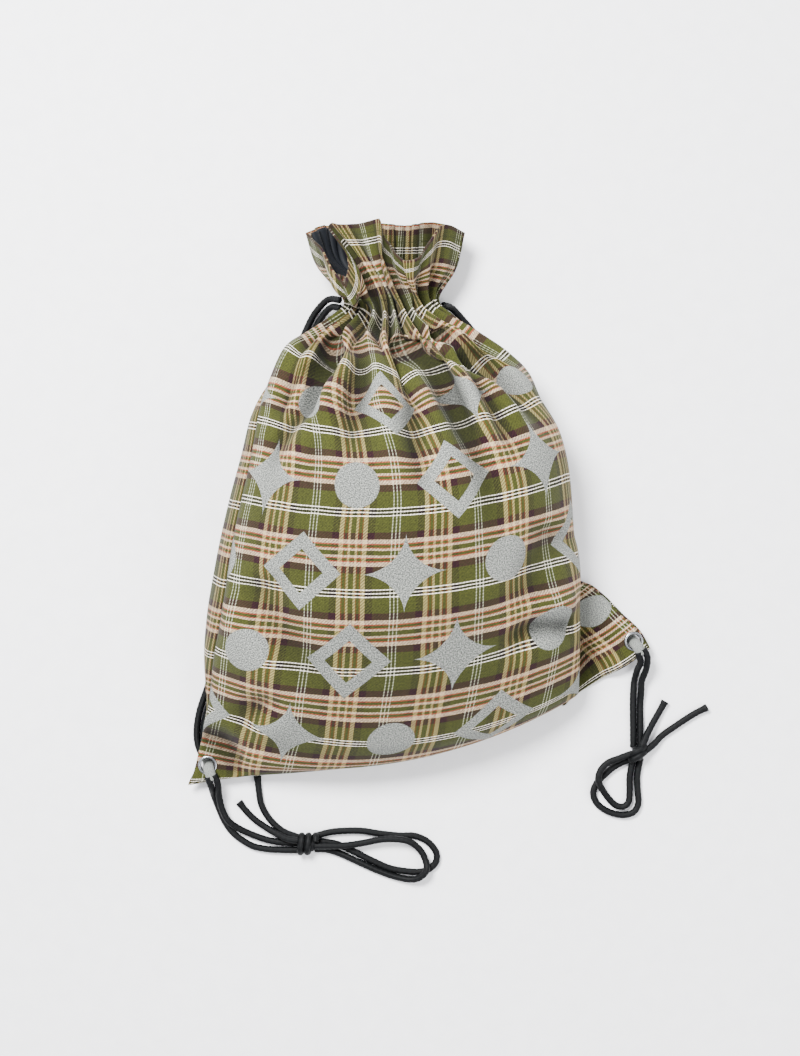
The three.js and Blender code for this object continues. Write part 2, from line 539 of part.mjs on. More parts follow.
// Cord routes. On each side the doubled cord leaves the neck, runs under the overhang of the
// body and up through the eyelet in a felt sleeve, is knotted, looped, and ends in two tails.
const ROUTES = {
  strap_left_a: [[-43.5, 160, 17], [-50, 161, 12], [-57, 154.5, 7], [-63.5, 143, 3.5], [-73, 118, 2.6],
    [-89, 80, 2.5], [-105, 34, 2.5], [-115.5, -18, 2.5], [-122.5, -62, 2.5], [-129.9, -98, 2.5],
    [-136.2, -119, 2.5], [-141.8, -136, 2.5], [-144.2, -148, 2.5], [-143.5, -157, 2.7], [-141.4, -162.5, 2.9]],
  strap_left_b: [[-43.5, 165.7, 17], [-52, 166.8, 11], [-61.6, 158.2, 6], [-68.8, 145.4, 3], [-78.4, 120.4, 2.5],
    [-94.4, 82, 2.5], [-110.5, 35.5, 2.5], [-121, -17, 2.5], [-128, -61, 2.5], [-135, -96.4, 2.5],
    [-141.4, -117, 2.5], [-147.3, -135, 2.5], [-149.3, -149, 2.5], [-148.4, -158.8, 2.7], [-146.3, -164.3, 2.9]],
  strap_right_a: [[31.5, 156.5, 17], [36, 155, 10], [43.4, 147.4, 4], [57.6, 131, 2.5], [82, 104.6, 2.5],
    [96.5, 70, 2.5], [106, 30, 2.5], [111.5, -8, 2.5], [116, -32, 2.5], [125.5, -47, 2.5],
    [138, -58, 2.5], [150.5, -66, 2.5], [158, -70, 2.5], [161.4, -72.9, 2.7], [162.9, -75.3, 2.9]],
  strap_right_b: [[31.5, 162, 17], [38, 160.5, 9], [47.6, 151, 3.5], [62.2, 133.8, 2.5], [87, 107, 2.5],
    [102, 71.5, 2.5], [111.2, 31, 2.5], [116.7, -8.5, 2.5], [121, -30, 2.5], [129.5, -43, 2.5],
    [141.4, -53.6, 2.5], [153.4, -61.3, 2.5], [161.4, -66, 2.5], [165.8, -70.2, 2.7], [167.3, -72.6, 2.9]],
  lead_left_a: [[-134.1, -182.1, 16.2], [-132.7, -186, 15.2], [-132.2, -196, 9.6], [-130, -206, 7.6],
    [-125.3, -214.6, 6.9], [-118, -220.2, 4.6], [-109.4, -224.6, 2.7], [-98.4, -228.6, 2.5],
    [-88, -230.6, 2.5], [-77, -231.2, 2.5]],
  lead_left_b: [[-139, -183.9, 16.2], [-137.6, -187.8, 15], [-136.4, -195.4, 6], [-133.2, -205, 2.5],
    [-128.6, -215.4, 2.5], [-122.6, -223.6, 2.5], [-115, -229.6, 2.5], [-107.5, -233.6, 2.5],
    [-98, -235.6, 2.5], [-88, -236.3, 2.5], [-77, -236.5, 2.5]],
  lead_right_a: [[178.3, -90.5, 16.2], [180.1, -94.4, 15.4], [179.6, -103, 11], [177, -112, 6.9],
    [176.8, -120, 4.4], [176.4, -128, 2.6], [176.3, -137, 2.5], [176.3, -146, 2.5], [176.4, -158.2, 2.5]],
  lead_right_b: [[173.8, -93.2, 16.2], [175.2, -97.2, 14.6], [173.6, -104.4, 6.6], [172, -112, 2.5],
    [171.2, -120, 2.5], [171, -128, 2.5], [171, -137, 2.5], [171.1, -146, 2.5], [171.2, -158, 2.5]],
  tail_left_1: [[-118.2, -201.1, 2.5], [-113.2, -207.4, 2.5], [-106.8, -213.8, 2.6], [-99.8, -218.7, 3.2],
    [-93.5, -222.3, 4.8], [-88, -225, 6.6], [-82.5, -227.4, 7.7], [-77.3, -228.2, 7.9]],
  tail_left_2: [[-104.6, -182, 2.5], [-104.2, -187, 2.5], [-103.4, -194.5, 2.5], [-101.8, -203, 2.5],
    [-98, -210.5, 2.5], [-92.4, -217.3, 2.5], [-85.5, -222.7, 2.5], [-77.1, -226, 2.5]],
  tail_right_1: [[194.6, -127.1, 2.5], [190.5, -134.5, 2.8], [186, -142, 4], [181.4, -150, 6.4], [177.8, -157.9, 8]],
  tail_right_2: [[225.5, -131.6, 2.5], [216, -136.4, 2.5], [202, -145.5, 2.5], [192, -152.6, 2.6],
    [186.2, -158.4, 4.4], [180.9, -162.4, 6.2]],
  loop_left_1: [[-59.6, -225.4, 2.5], [-51, -223.2, 2.5], [-42, -222.3, 2.5], [-28, -222.3, 2.5],
    [-14, -224.4, 2.5], [0, -225.8, 2.5], [10.7, -226, 2.5], [20.5, -230.4, 2.5], [26.6, -238.4, 2.5],
    [26.4, -245, 2.5], [21.2, -250.4, 2.5], [13.8, -252.4, 2.5], [5.6, -252, 2.5], [-7, -249.8, 2.5],
    [-21, -243.8, 2.5], [-35, -236.8, 2.5], [-46, -232, 2.5], [-53.5, -230.6, 2.5], [-59.6, -230.4, 2.5]],
  loop_left_2: [[-59.6, -232.6, 7.8], [-52, -232.6, 8], [-42, -232.4, 7.8], [-28, -230.7, 6.8],
    [-14, -228, 7.4], [-3, -227.6, 7.9], [7.2, -229.6, 7.6], [15, -236.2, 6], [18.8, -244, 6.2],
    [19.4, -250.2, 8], [14.6, -255.8, 7], [8.4, -257.6, 4.8], [-3.4, -255.9, 2.6],
    [-17.5, -250.9, 2.5], [-31.5, -244.6, 2.5], [-45.5, -238.4, 2.5], [-53.9, -236, 2.5],
    [-59.6, -235.8, 2.5]],
  loop_right_1: [[167, -166, 7.6], [160, -168.6, 7.6], [152.5, -171.6, 7.2], [147.2, -176.6, 7.6],
    [145, -183, 8], [146.8, -189, 7.2], [150.4, -194.8, 4.6], [154.8, -200.4, 2.7], [159.4, -204, 2.5],
    [164.2, -204.4, 2.5], [167.6, -201.4, 2.5], [168.4, -194.6, 2.5], [168.6, -182, 2.5], [170.6, -171.8, 2.5]],
  loop_right_2: [[165.8, -170.9, 2.5], [157.4, -175.2, 2.5], [150.4, -181, 2.5], [144.2, -187.6, 2.5],
    [141.8, -194.8, 2.5], [144.2, -201.6, 2.5], [150, -206.6, 2.5], [157.6, -209.8, 2.5], [165, -210.6, 2.5],
    [171.6, -208.4, 2.5], [174.8, -202.6, 2.5], [174.4, -192, 2.5], [174.2, -182, 2.5], [176, -171.8, 2.5]],
};
const CORD_SIDES = 8;
const STEP = { strap: 17, lead: 8, tail: 10, loop: 8 };
for (const [name, points] of Object.entries(ROUTES)) {
  addPiece(name, tube(points, CORD, CORD, CORD_SIDES, STEP[name.split('_')[0]]), BRAID);
}

// Felt sleeves round the doubled cord where it passes the eyelet
const SLEEVE_LINE = [
  { along: -9.5, z: 2.9 }, { along: -6.5, z: 2.9 }, { along: -4, z: 3 }, { along: -2, z: 3.6 },
  { along: -0.6, z: 5 }, { along: 0, z: 7 }, { along: 0, z: 9.6 }, { along: 0, z: 12.3 },
  { along: 0.6, z: 14.3 }, { along: 2, z: 15.8 }, { along: 4, z: 16.5 }, { along: 7, z: 16.7 },
  { along: 10, z: 16.4 },
];
function sleeve(eyelet, heading) {
  const route = SLEEVE_LINE.map(({ along, z }) => [
    eyelet.x + along * Math.sin(heading), eyelet.y - along * Math.cos(heading), z]);
  return tube(route, SLEEVE.wide, SLEEVE.thick, 10, 2.2);
}
addPiece('sleeve_left', sleeve(LEFT_EYELET, 0.358), FELT);
addPiece('sleeve_right', sleeve(RIGHT_EYELET, 0.55), FELT);

// Overhand knots: a flat-ended core with two slanted wraps round it
function knot({ length, wide, high, slant }) {
  const core = new THREE.Shape();
  core.absellipse(0, 0, wide / 2 - CORD * 0.55, high / 2 - CORD * 0.4, 0, 2 * Math.PI);
  const block = new THREE.ExtrudeGeometry(core, { depth: length, steps: 1, bevelEnabled: false, curveSegments: 9 });
  block.translate(0, 0, -length / 2);
  let body = solidOf(block);
  for (const place of [-1, 1]) {
    const wrap = new THREE.TorusGeometry((wide - CORD) / 2, CORD / 2, 7, 16);
    wrap.scale(1, high / wide, 1);
    wrap.rotateY(slant);
    wrap.translate(0, 0, (place * length) / 4.4);
    body = body.add(solidOf(wrap));
  }
  return geometryOf(body).rotateX(Math.PI / 2);
}
const LEFT_KNOT = { length: 16.6, wide: 17, high: 12.4, slant: 0.24 };
const RIGHT_KNOT = { length: 12.4, wide: 14, high: 12.4, slant: -0.4 };
const leftKnot = addPiece('knot_left', knot(LEFT_KNOT), BRAID);
leftKnot.rotation.z = Math.PI / 2;
leftKnot.position.set(-68.3, -231.2, 6.6);
const rightKnot = addPiece('knot_right', knot(RIGHT_KNOT), BRAID);
rightKnot.position.set(174, -165, 6.6);

export default bag;
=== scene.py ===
# %% [markdown]
# # A drawstring gym bag in checked flannel
# The real bag is two panels of brushed cotton flannel, sewn together down both sides and along the
# bottom. On each side a doubled cord draws the mouth shut, runs out through an eyelet and is tied.
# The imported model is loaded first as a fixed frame: it gives every place and size in metres.

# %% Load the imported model
import math
from functools import partial
import bpy
import numpy as np
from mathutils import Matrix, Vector


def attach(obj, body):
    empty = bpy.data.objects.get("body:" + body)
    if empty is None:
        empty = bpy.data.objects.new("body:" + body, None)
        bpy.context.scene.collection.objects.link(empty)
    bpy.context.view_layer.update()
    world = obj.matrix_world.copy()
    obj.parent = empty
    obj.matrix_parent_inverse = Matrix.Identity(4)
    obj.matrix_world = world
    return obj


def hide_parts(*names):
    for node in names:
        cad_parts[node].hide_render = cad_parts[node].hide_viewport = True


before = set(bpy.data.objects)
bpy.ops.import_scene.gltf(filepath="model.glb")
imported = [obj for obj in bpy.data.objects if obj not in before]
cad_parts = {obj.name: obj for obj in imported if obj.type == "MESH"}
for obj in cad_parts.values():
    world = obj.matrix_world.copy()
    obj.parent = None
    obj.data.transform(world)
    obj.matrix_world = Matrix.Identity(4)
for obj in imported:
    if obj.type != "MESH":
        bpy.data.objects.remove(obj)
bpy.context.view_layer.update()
MM = 0.001
print("CAD nodes:", len(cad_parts))

# %% [markdown]
# ## Camera
# The bag lies on its back and was taken from straight above. The view is set by three numbers: the
# height of the lens, its focal length in pixels of the photograph, and the frame's height in pixels.
# Nothing shows how high the lens was, so 1.5 m is an assumption.

# %% Camera
FRAME_HIGH_PX = 1056
FOCAL_PX = 2040
LENS_HEIGHT = 1.5
SENSOR_HIGH = 36
SEEN_TO = 20
camera_data = bpy.data.cameras.new("overhead_camera")
camera_data.sensor_fit = "VERTICAL"
camera_data.sensor_height = SENSOR_HIGH
camera_data.lens = SENSOR_HIGH * FOCAL_PX / FRAME_HIGH_PX
camera_data.clip_end = SEEN_TO
camera = bpy.data.objects.new("overhead_camera", camera_data)
camera.location = (0, 0, LENS_HEIGHT)
bpy.context.scene.collection.objects.link(camera)
bpy.context.scene.camera = camera
print("lens", round(camera_data.lens, 2), "mm")

# %% [markdown]
# ## Helpers for colour and for nodes
# Colours are written as the sRGB hex values that a designer would note down, and one function turns
# them to the linear values that the shaders use. Another adds a node with its settings and links.
# Inputs are given by name or in the order of the sockets. A node that is given as an input stands
# for its first output.

# %% Helpers for colour and nodes
def linear(hex_colour):
    channels = [int(hex_colour[i : i + 2], 16) / 255 for i in (1, 3, 5)]
    return (*[c / 12.92 if c <= 0.04045 else ((c + 0.055) / 1.055) ** 2.4 for c in channels], 1)


def set_inputs(tree, target, inputs):
    for socket, value in inputs.items() if isinstance(inputs, dict) else enumerate(inputs):
        if isinstance(value, bpy.types.Node):
            value = value.outputs[0]
        if isinstance(value, bpy.types.NodeSocket):
            tree.links.new(value, target.inputs[socket])
        else:
            target.inputs[socket].default_value = value


def add_node(tree, kind, inputs=(), stops=(), **settings):
    new = tree.nodes.new("ShaderNode" + kind)
    for name, value in settings.items():
        setattr(new, name, value)
    set_inputs(tree, new, inputs)
    for index, (place, colour) in enumerate(stops):
        elements = new.color_ramp.elements
        element = elements[index] if index < 2 else elements.new(place)
        element.position = place
        element.color = linear(colour)
    return new


def new_material(name):
    # The material, with a way to add nodes to it and a way to set the inputs of its shader.
    material = bpy.data.materials.new(name)
    material.use_nodes = True
    tree = material.node_tree
    return material, partial(add_node, tree), partial(set_inputs, tree, tree.nodes["Principled BSDF"])


print("sRGB #808080 is", round(linear("#808080")[0], 3), "in linear light")

# %% [markdown]
# ## Helpers for curves
# A smooth curve through the points of a route gives every cord its line. Directions across the line
# are turned as little as possible from one point to the next, so a braid isn't wrung.

# %% Helpers for curves
FINE_POINTS = 40
UP = np.array([0, 0, 1.0])


def smooth(t):
    c = np.clip(t, 0, 1)
    return c * c * (3 - 2 * c)


def rising(at, start, over):
    # 0 up to the start, then smoothly up to 1 over the given distance.
    return smooth((at - start) / over)


def falling(at, start, over):
    return 1 - rising(at, start, over)


def mix(a, b, t):
    return a + (b - a) * t


def table(columns, rows):
    return dict(zip(columns.split(), np.array(rows, float).T))


def along_spline(points, t):
    # A smooth curve through the points, at the shares t of its spans. Its pace follows the square
    # root of each gap, so it makes no loop where two points lie close together.
    last = len(points) - 1
    first = 2 * points[0] - points[1]
    beyond = 2 * points[-1] - points[-2]
    knots = np.concatenate([[first], points, [beyond]])
    place = np.clip(t * last, 0, last)
    span = np.minimum(np.floor(place).astype(int), last - 1)
    a, b, c, d = (knots[span + k] for k in range(4))
    gaps = [np.linalg.norm(q - p, axis=-1, keepdims=True) for p, q in ((a, b), (b, c), (c, d))]
    before, between, after = (np.maximum(gap**0.5, 1e-4) for gap in gaps)
    leave = (b - a) / before - (c - a) / (before + between) + (c - b) / between
    arrive = (c - b) / between - (d - b) / (between + after) + (d - c) / after
    leave = leave * between
    arrive = arrive * between
    w = (place - span)[..., None]
    return b + leave * w + (3 * (c - b) - 2 * leave - arrive) * w**2 + (2 * (b - c) + leave + arrive) * w**3


def unit(vectors):
    return vectors / np.maximum(np.linalg.norm(vectors, axis=-1, keepdims=True), 1e-9)


def lengths_along(route):
    return np.concatenate([[0], np.cumsum(np.linalg.norm(np.diff(route, axis=0), axis=1))])


def even_route(points, step):
    points = np.array(points, float)
    fine = along_spline(points, np.linspace(0, 1, FINE_POINTS * len(points)))
    along = lengths_along(fine)
    places = np.linspace(0, along[-1], max(4, round(along[-1] / step)) + 1)
    return np.stack([np.interp(places, along, fine[:, k]) for k in range(3)], axis=1)


def upright_frames(route):
    # Two directions across the route at each of its points, carried along without twist.
    forward = unit(np.gradient(route, axis=0))
    side = np.cross(forward[0], UP)
    if np.linalg.norm(side) < 0.1:
        side = np.cross(forward[0], (0, 1, 0))
    sides = []
    for way in forward:
        side = side - way * np.dot(side, way)
        side = side / np.linalg.norm(side)
        sides.append(side)
    sides = np.array(sides)
    return sides, np.cross(sides, forward)


print("a quarter of a smooth step is", round(float(smooth(0.25)), 3))

# %% [markdown]
# ## Helpers for meshes
# Cloth, cords, eyelets and sleeves are all grids of points, so one function numbers the faces of a
# grid, and may close it on itself. Another makes a piece of it in metres, with its material, and
# with the place of each point on the cloth or the cord kept in a map called "cloth".

# %% Helpers for meshes
def quads(rows, across, closed=(0, 0)):
    number = np.arange(rows * across).reshape(rows, across)
    number = np.pad(number, ((0, closed[0]), (0, closed[1])), mode="wrap")
    corners = [number[:-1, :-1], number[:-1, 1:], number[1:, 1:], number[1:, :-1]]
    return np.stack(corners, axis=-1).reshape(-1, 4).tolist()


def end_caps(rings, points_in_ring, sides):
    last = (rings - 1) * points_in_ring
    return [list(reversed(range(sides))), [last + k for k in range(sides)]]


def new_mesh_piece(name, points_mm, faces, material, uv=None):
    mesh = bpy.data.meshes.new(name)
    mesh.from_pydata((np.asarray(points_mm).reshape(-1, 3) * MM).tolist(), [], faces)
    if uv is not None:
        layer = mesh.uv_layers.new(name="cloth")
        corners = np.zeros(len(mesh.loops), int)
        mesh.loops.foreach_get("vertex_index", corners)
        layer.data.foreach_set("uv", np.asarray(uv).reshape(-1, 2)[corners].ravel())
    mesh.materials.append(material)
    mesh.polygons.foreach_set("use_smooth", [True] * len(mesh.polygons))
    mesh.update()
    piece = bpy.data.objects.new(name, mesh)
    bpy.context.scene.collection.objects.link(piece)
    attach(piece, "root")
    return piece


print("a closed ring of 4 by 3 points has", len(quads(4, 3, closed=(1, 0))), "faces")

# %% [markdown]
# ## Braided cord
# The cord is a round braid of filament polyester, about 4.8 mm thick, dyed nearly black. Strands turn
# both ways round it and cross over one another. A plain tube would look like rubber, so the strands'
# relief is in the mesh, and the shader adds a fine grain and a dull gloss. A cord like this has about
# eight strands each way. Six are drawn, so that they show at this distance.

# %% Braided polyester
CORD = 4.8
BRAID = {"around": 6, "lay": 7.5, "relief": 0.16}
# Filaments are too fine to show, so a grain stands in for them, three to a millimetre along the cord.
# The gloss changes about every 11 mm.
GRAINS_PER_MM = 3
PATCHES_PER_MM = 0.09
# The cord's colours. The ramp is read higher on the crests of the strands, a painted highlight, and lower in
# the gaps between them, a painted shade.
CORD_TONES_WITH_CREST_LIGHT = [(0.2, "#010102"), (0.55, "#050607"), (0.95, "#0e1012")]


def make_braided_polyester():
    material, node, finish = new_material("braided_polyester")
    uv = node("UVMap", uv_map="cloth")
    around, along = node("SeparateXYZ", [uv]).outputs[:2]
    grain = node("TexNoise", {"Vector": uv, "Scale": GRAINS_PER_MM, "Detail": 3, "Roughness": 0.6})
    patches = node("TexNoise", {"Vector": uv, "Scale": PATCHES_PER_MM, "Detail": 2})
    turn = node("Math", [around, 2 * math.pi], operation="MULTIPLY")
    lay = node("Math", [along, 2 * math.pi / BRAID["lay"]], operation="MULTIPLY")
    crossing = []
    for way in ("ADD", "SUBTRACT"):
        angle = node("Math", [turn, lay], operation=way)
        crossing.append(node("Math", [angle], operation="COSINE"))
    strands = node("Math", crossing, operation="MULTIPLY")
    # Painted light and shade: the colour is lighter on the crests of the strands and darker in the gaps. The
    # grain adds tone that varies at random.
    crest_light_and_grain = node("Math", [strands, 0.22, 0.36], operation="MULTIPLY_ADD")
    crest_light_and_grain = node("Math", [grain, 0.35, crest_light_and_grain], operation="MULTIPLY_ADD")
    relief = node("Math", [strands, 0.5, grain], operation="MULTIPLY_ADD")
    finish({
        "Base Color": node("ValToRGB", [crest_light_and_grain], stops=CORD_TONES_WITH_CREST_LIGHT),
        "Roughness": node("MapRange", [patches, 0, 1, 0.5, 0.68]),
        "Normal": node("Bump", {"Strength": 0.6, "Distance": 0.0003, "Height": relief}),
        "IOR": 1.54,
        "Specular IOR Level": 0.12,
    })
    return material


braided_polyester = make_braided_polyester()
print("material:", braided_polyester.name)

# %% [markdown]
# A cord's mesh is a ring of points swept along its line, with the braid's relief added to the radius.
# The ring's seam is doubled, so that the map of the braid closes cleanly. A cut end frays and spreads
# a little over its last few millimetres.

# %% A braided tube
SIDES = 24
TUBE_STEP = 0.9
FRAYS_OVER = 5


def braided_tube(name, points, flare=0.0, step=TUBE_STEP):
    route = even_route(points, step)
    right, up = upright_frames(route)
    along = lengths_along(route)
    around = np.arange(SIDES + 1) / SIDES
    turn = 2 * math.pi * BRAID["around"] * around[None, :]
    lay = 2 * math.pi * along[:, None] / BRAID["lay"]
    relief = BRAID["relief"] * np.cos(turn + lay) * np.cos(turn - lay)
    spread = 1 + flare * smooth(1 - (along[-1] - along) / FRAYS_OVER)
    radius = (CORD / 2 + relief) * spread[:, None]
    circle = 2 * math.pi * around
    skin = (
        route[:, None, :]
        + right[:, None, :] * (radius * np.cos(circle))[..., None]
        + up[:, None, :] * (radius * np.sin(circle))[..., None]
    )
    uv = np.stack(np.broadcast_arrays(BRAID["around"] * around[None, :], along[:, None]), axis=2)
    faces = quads(len(route), SIDES + 1) + end_caps(len(route), SIDES + 1, SIDES)
    piece = new_mesh_piece(name, skin, faces, braided_polyester, uv)
    return piece, route, along[-1]


print("strands cross every", BRAID["lay"] / 2, "mm")

# %% [markdown]
# ## Cords
# Each side has one doubled cord. It leaves the neck, runs behind the bag, comes up through the
# eyelet in a felt sleeve, and is tied: a knot, two loops and two tails. The points are the same as
# in the part's source, in millimetres. A cord of fixed length could be simulated, but its place is
# known, so a smooth curve through given points is surer.

# %% Cord routes
# A point is x, y and z. One without a z lies on the floor, where the cord's middle is this high.
LYING = 2.5
ROUTES = {
    "strap_left_a": [
        (-43.5, 160, 17), (-50, 161, 12), (-57, 154.5, 7), (-63.5, 143, 3.5), (-73, 118, 2.6),
        (-89, 80), (-105, 34), (-115.5, -18), (-122.5, -62), (-129.9, -98), (-136.2, -119),
        (-141.8, -136), (-144.2, -148), (-143.5, -157, 2.7), (-141.4, -162.5, 2.9),
    ],
    "strap_left_b": [
        (-43.5, 165.7, 17), (-52, 166.8, 11), (-61.6, 158.2, 6), (-68.8, 145.4, 3), (-78.4, 120.4),
        (-94.4, 82), (-110.5, 35.5), (-121, -17), (-128, -61), (-135, -96.4), (-141.4, -117),
        (-147.3, -135), (-149.3, -149), (-148.4, -158.8, 2.7), (-146.3, -164.3, 2.9),
    ],
    "strap_right_a": [
        (31.5, 156.5, 17), (36, 155, 10), (43.4, 147.4, 4), (57.6, 131), (82, 104.6), (96.5, 70),
        (106, 30), (111.5, -8), (116, -32), (125.5, -47), (138, -58), (150.5, -66), (158, -70),
        (161.4, -72.9, 2.7), (162.9, -75.3, 2.9),
    ],
    "strap_right_b": [
        (31.5, 162, 17), (38, 160.5, 9), (47.6, 151, 3.5), (62.2, 133.8), (87, 107), (102, 71.5),
        (111.2, 31), (116.7, -8.5), (121, -30), (129.5, -43), (141.4, -53.6), (153.4, -61.3),
        (161.4, -66), (165.8, -70.2, 2.7), (167.3, -72.6, 2.9),
    ],
    "lead_left_a": [
        (-134.1, -182.1, 16.2), (-132.7, -186, 15.2), (-132.2, -196, 9.6), (-130, -206, 7.6),
        (-125.3, -214.6, 6.9), (-118, -220.2, 4.6), (-109.4, -224.6, 2.7), (-98.4, -228.6),
        (-88, -230.6), (-77, -231.2),
    ],
    "lead_left_b": [
        (-139, -183.9, 16.2), (-137.6, -187.8, 15), (-136.4, -195.4, 6), (-133.2, -205),
        (-128.6, -215.4), (-122.6, -223.6), (-115, -229.6), (-107.5, -233.6), (-98, -235.6),
        (-88, -236.3), (-77, -236.5),
    ],
    "lead_right_a": [
        (178.3, -90.5, 16.2), (180.1, -94.4, 15.4), (179.6, -103, 11), (177, -112, 6.9),
        (176.8, -120, 4.4), (176.4, -128, 2.6), (176.3, -137), (176.3, -146), (176.4, -158.2),
    ],
    "lead_right_b": [
        (173.8, -93.2, 16.2), (175.2, -97.2, 14.6), (173.6, -104.4, 6.6), (172, -112), (171.2, -120),
        (171, -128), (171, -137), (171.1, -146), (171.2, -158),
    ],
    "tail_left_1": [
        (-77.3, -228.2, 7.9), (-82.5, -227.4, 7.7), (-88, -225, 6.6), (-93.5, -222.3, 4.8),
        (-99.8, -218.7, 3.2), (-106.8, -213.8, 2.6), (-113.2, -207.4), (-118.2, -201.1),
    ],
    "tail_left_2": [
        (-77.1, -226), (-85.5, -222.7), (-92.4, -217.3), (-98, -210.5), (-101.8, -203),
        (-103.4, -194.5), (-104.2, -187), (-104.6, -182),
    ],
    "tail_right_1": [
        (177.8, -157.9, 8), (181.4, -150, 6.4), (186, -142, 4), (190.5, -134.5, 2.8), (194.6, -127.1),
    ],
    "tail_right_2": [
        (180.9, -162.4, 6.2), (186.2, -158.4, 4.4), (192, -152.6, 2.6), (202, -145.5), (216, -136.4),
        (225.5, -131.6),
    ],
    "loop_left_1": [
        (-59.6, -225.4), (-51, -223.2), (-42, -222.3), (-28, -222.3), (-14, -224.4), (0, -225.8),
        (10.7, -226), (20.5, -230.4), (26.6, -238.4), (26.4, -245), (21.2, -250.4), (13.8, -252.4),
        (5.6, -252), (-7, -249.8), (-21, -243.8), (-35, -236.8), (-46, -232), (-53.5, -230.6),
        (-59.6, -230.4),
    ],
    "loop_left_2": [
        (-59.6, -232.6, 7.8), (-52, -232.6, 8), (-42, -232.4, 7.8), (-28, -230.7, 6.8),
        (-14, -228, 7.4), (-3, -227.6, 7.9), (7.2, -229.6, 7.6), (15, -236.2, 6), (18.8, -244, 6.2),
        (19.4, -250.2, 8), (14.6, -255.8, 7), (8.4, -257.6, 4.8), (-3.4, -255.9, 2.6), (-17.5, -250.9),
        (-31.5, -244.6), (-45.5, -238.4), (-53.9, -236), (-59.6, -235.8),
    ],
    "loop_right_1": [
        (167, -166, 7.6), (160, -168.6, 7.6), (152.5, -171.6, 7.2), (147.2, -176.6, 7.6),
        (145, -183, 8), (146.8, -189, 7.2), (150.4, -194.8, 4.6), (154.8, -200.4, 2.7), (159.4, -204),
        (164.2, -204.4), (167.6, -201.4), (168.4, -194.6), (168.6, -182), (170.6, -171.8),
    ],
    "loop_right_2": [
        (165.8, -170.9), (157.4, -175.2), (150.4, -181), (144.2, -187.6), (141.8, -194.8),
        (144.2, -201.6), (150, -206.6), (157.6, -209.8), (165, -210.6), (171.6, -208.4),
        (174.8, -202.6), (174.4, -192), (174.2, -182), (176, -171.8),
    ],
}
print("routes:", len(ROUTES))

# %% [markdown]
# ## Knots
# Each tie is a slipped overhand knot: the doubled cord wraps about twice round itself and two loops
# are pulled through. A sculpted blob would hide the wraps, so the knot is a helix of the same cord,
# flattened to the knot's width and height, round a short core that fills its middle.

# %% Knots
KNOTS = {
    "knot_left": {
        "centre": (-68.3, -231.2, 6.6), "axis": (1, 0),
        "long": 16.6, "wide": 17, "high": 12.4, "turns": 2.3, "slant": 0.3,
    },
    "knot_right": {
        "centre": (174, -165, 6.6), "axis": (0, -1),
        "long": 12.4, "wide": 14, "high": 12.4, "turns": 1.8, "slant": -0.45,
    },
}
WRAP = {"points": 40, "step": 0.7, "first_turn": 0.1}
# The core's reach as a share of the knot's length, how many cords it stays inside the wraps, sideways
# and upwards, and how near to a point its ends go.
CORE = {"reach": 0.42, "inside": 0.55, "below": 0.45, "taper": 0.93}


def knot_piece(name):
    knot = KNOTS[name]
    t = np.linspace(0, 1, WRAP["points"])
    turn = 2 * math.pi * (knot["turns"] * t - WRAP["first_turn"])
    across = (knot["wide"] - CORD) / 2 * np.cos(turn)
    lift = (knot["high"] - CORD) / 2 * np.sin(turn)
    on = (t - 0.5) * (knot["long"] - CORD) + across * knot["slant"]
    axis = np.array([*knot["axis"], 0.0])
    side = np.array([-axis[1], axis[0], 0.0])
    centre = np.array(knot["centre"])
    points = centre + on[:, None] * axis + across[:, None] * side + lift[:, None] * UP
    wraps, _, length = braided_tube(f"{name}_wraps", points, step=WRAP["step"])
    reach = axis * knot["long"] * CORE["reach"]
    core = even_route([centre - reach, centre, centre + reach], 1)
    ring = np.linspace(0, 2 * math.pi, SIDES, endpoint=False)
    end_to_end = np.linspace(-CORE["taper"], CORE["taper"], len(core))
    taper = np.sqrt(np.clip(1 - end_to_end**4, 0, 1))[:, None]
    half_wide = (knot["wide"] / 2 - CORD * CORE["inside"]) * taper
    half_high = (knot["high"] / 2 - CORD * CORE["below"]) * taper
    sideways = side * (half_wide * np.cos(ring))[..., None]
    upwards = UP * (half_high * np.sin(ring))[..., None]
    body = core[:, None, :] + sideways + upwards
    uv = np.stack(np.meshgrid(np.arange(SIDES) * BRAID["around"] / SIDES, np.arange(len(core))), axis=2)
    faces = quads(len(core), SIDES, closed=(0, 1)) + end_caps(len(core), SIDES, SIDES)
    filling = new_mesh_piece(f"{name}_core", body, faces, braided_polyester, uv)
    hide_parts(name)
    print(name, "wrap", round(length), "mm")
    return wraps, filling


knots = {name: knot_piece(name) for name in KNOTS}

# %% [markdown]
# Every run of cord is laid along its route: the straps leave the neck, the leads leave the sleeves,
# and the loops and the tails leave the knots. The ends reach a few millimetres into the knot or the
# sleeve, as the real ones do.

# %% Lay the cords
SUNK = 3.0
FRAYED = 0.16


def lengthened(points, at_start, at_end):
    points = np.array(points, float)
    for end, inner, more in ((0, 1, at_start), (-1, -2, at_end)):
        way = points[end] - points[inner]
        points[end] += way / np.linalg.norm(way) * more
    return points


for cord_name, points in ROUTES.items():
    run, side_name = cord_name.split("_")[:2]
    points = lengthened(
        [(*point, LYING)[:3] for point in points], 0 if run == "strap" else SUNK, 0 if run == "tail" else SUNK
    )
    cord, route, measured = braided_tube(f"braid_{cord_name}", points, flare=FRAYED if run == "tail" else 0)
    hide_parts(cord_name)

# %% [markdown]
# ## The shape of the filled bag
# A soft bag is a lofted shell that sags, not a set of flat plates. Cross-sections down its length
# say how wide and high it lies, where its underside is, and how each section bows. The cloth of both
# panels is then laid round these sections by its own measure: u runs across the cloth from the left
# seam and v down it from the rim, in millimetres, so the weave can follow the folds exactly.

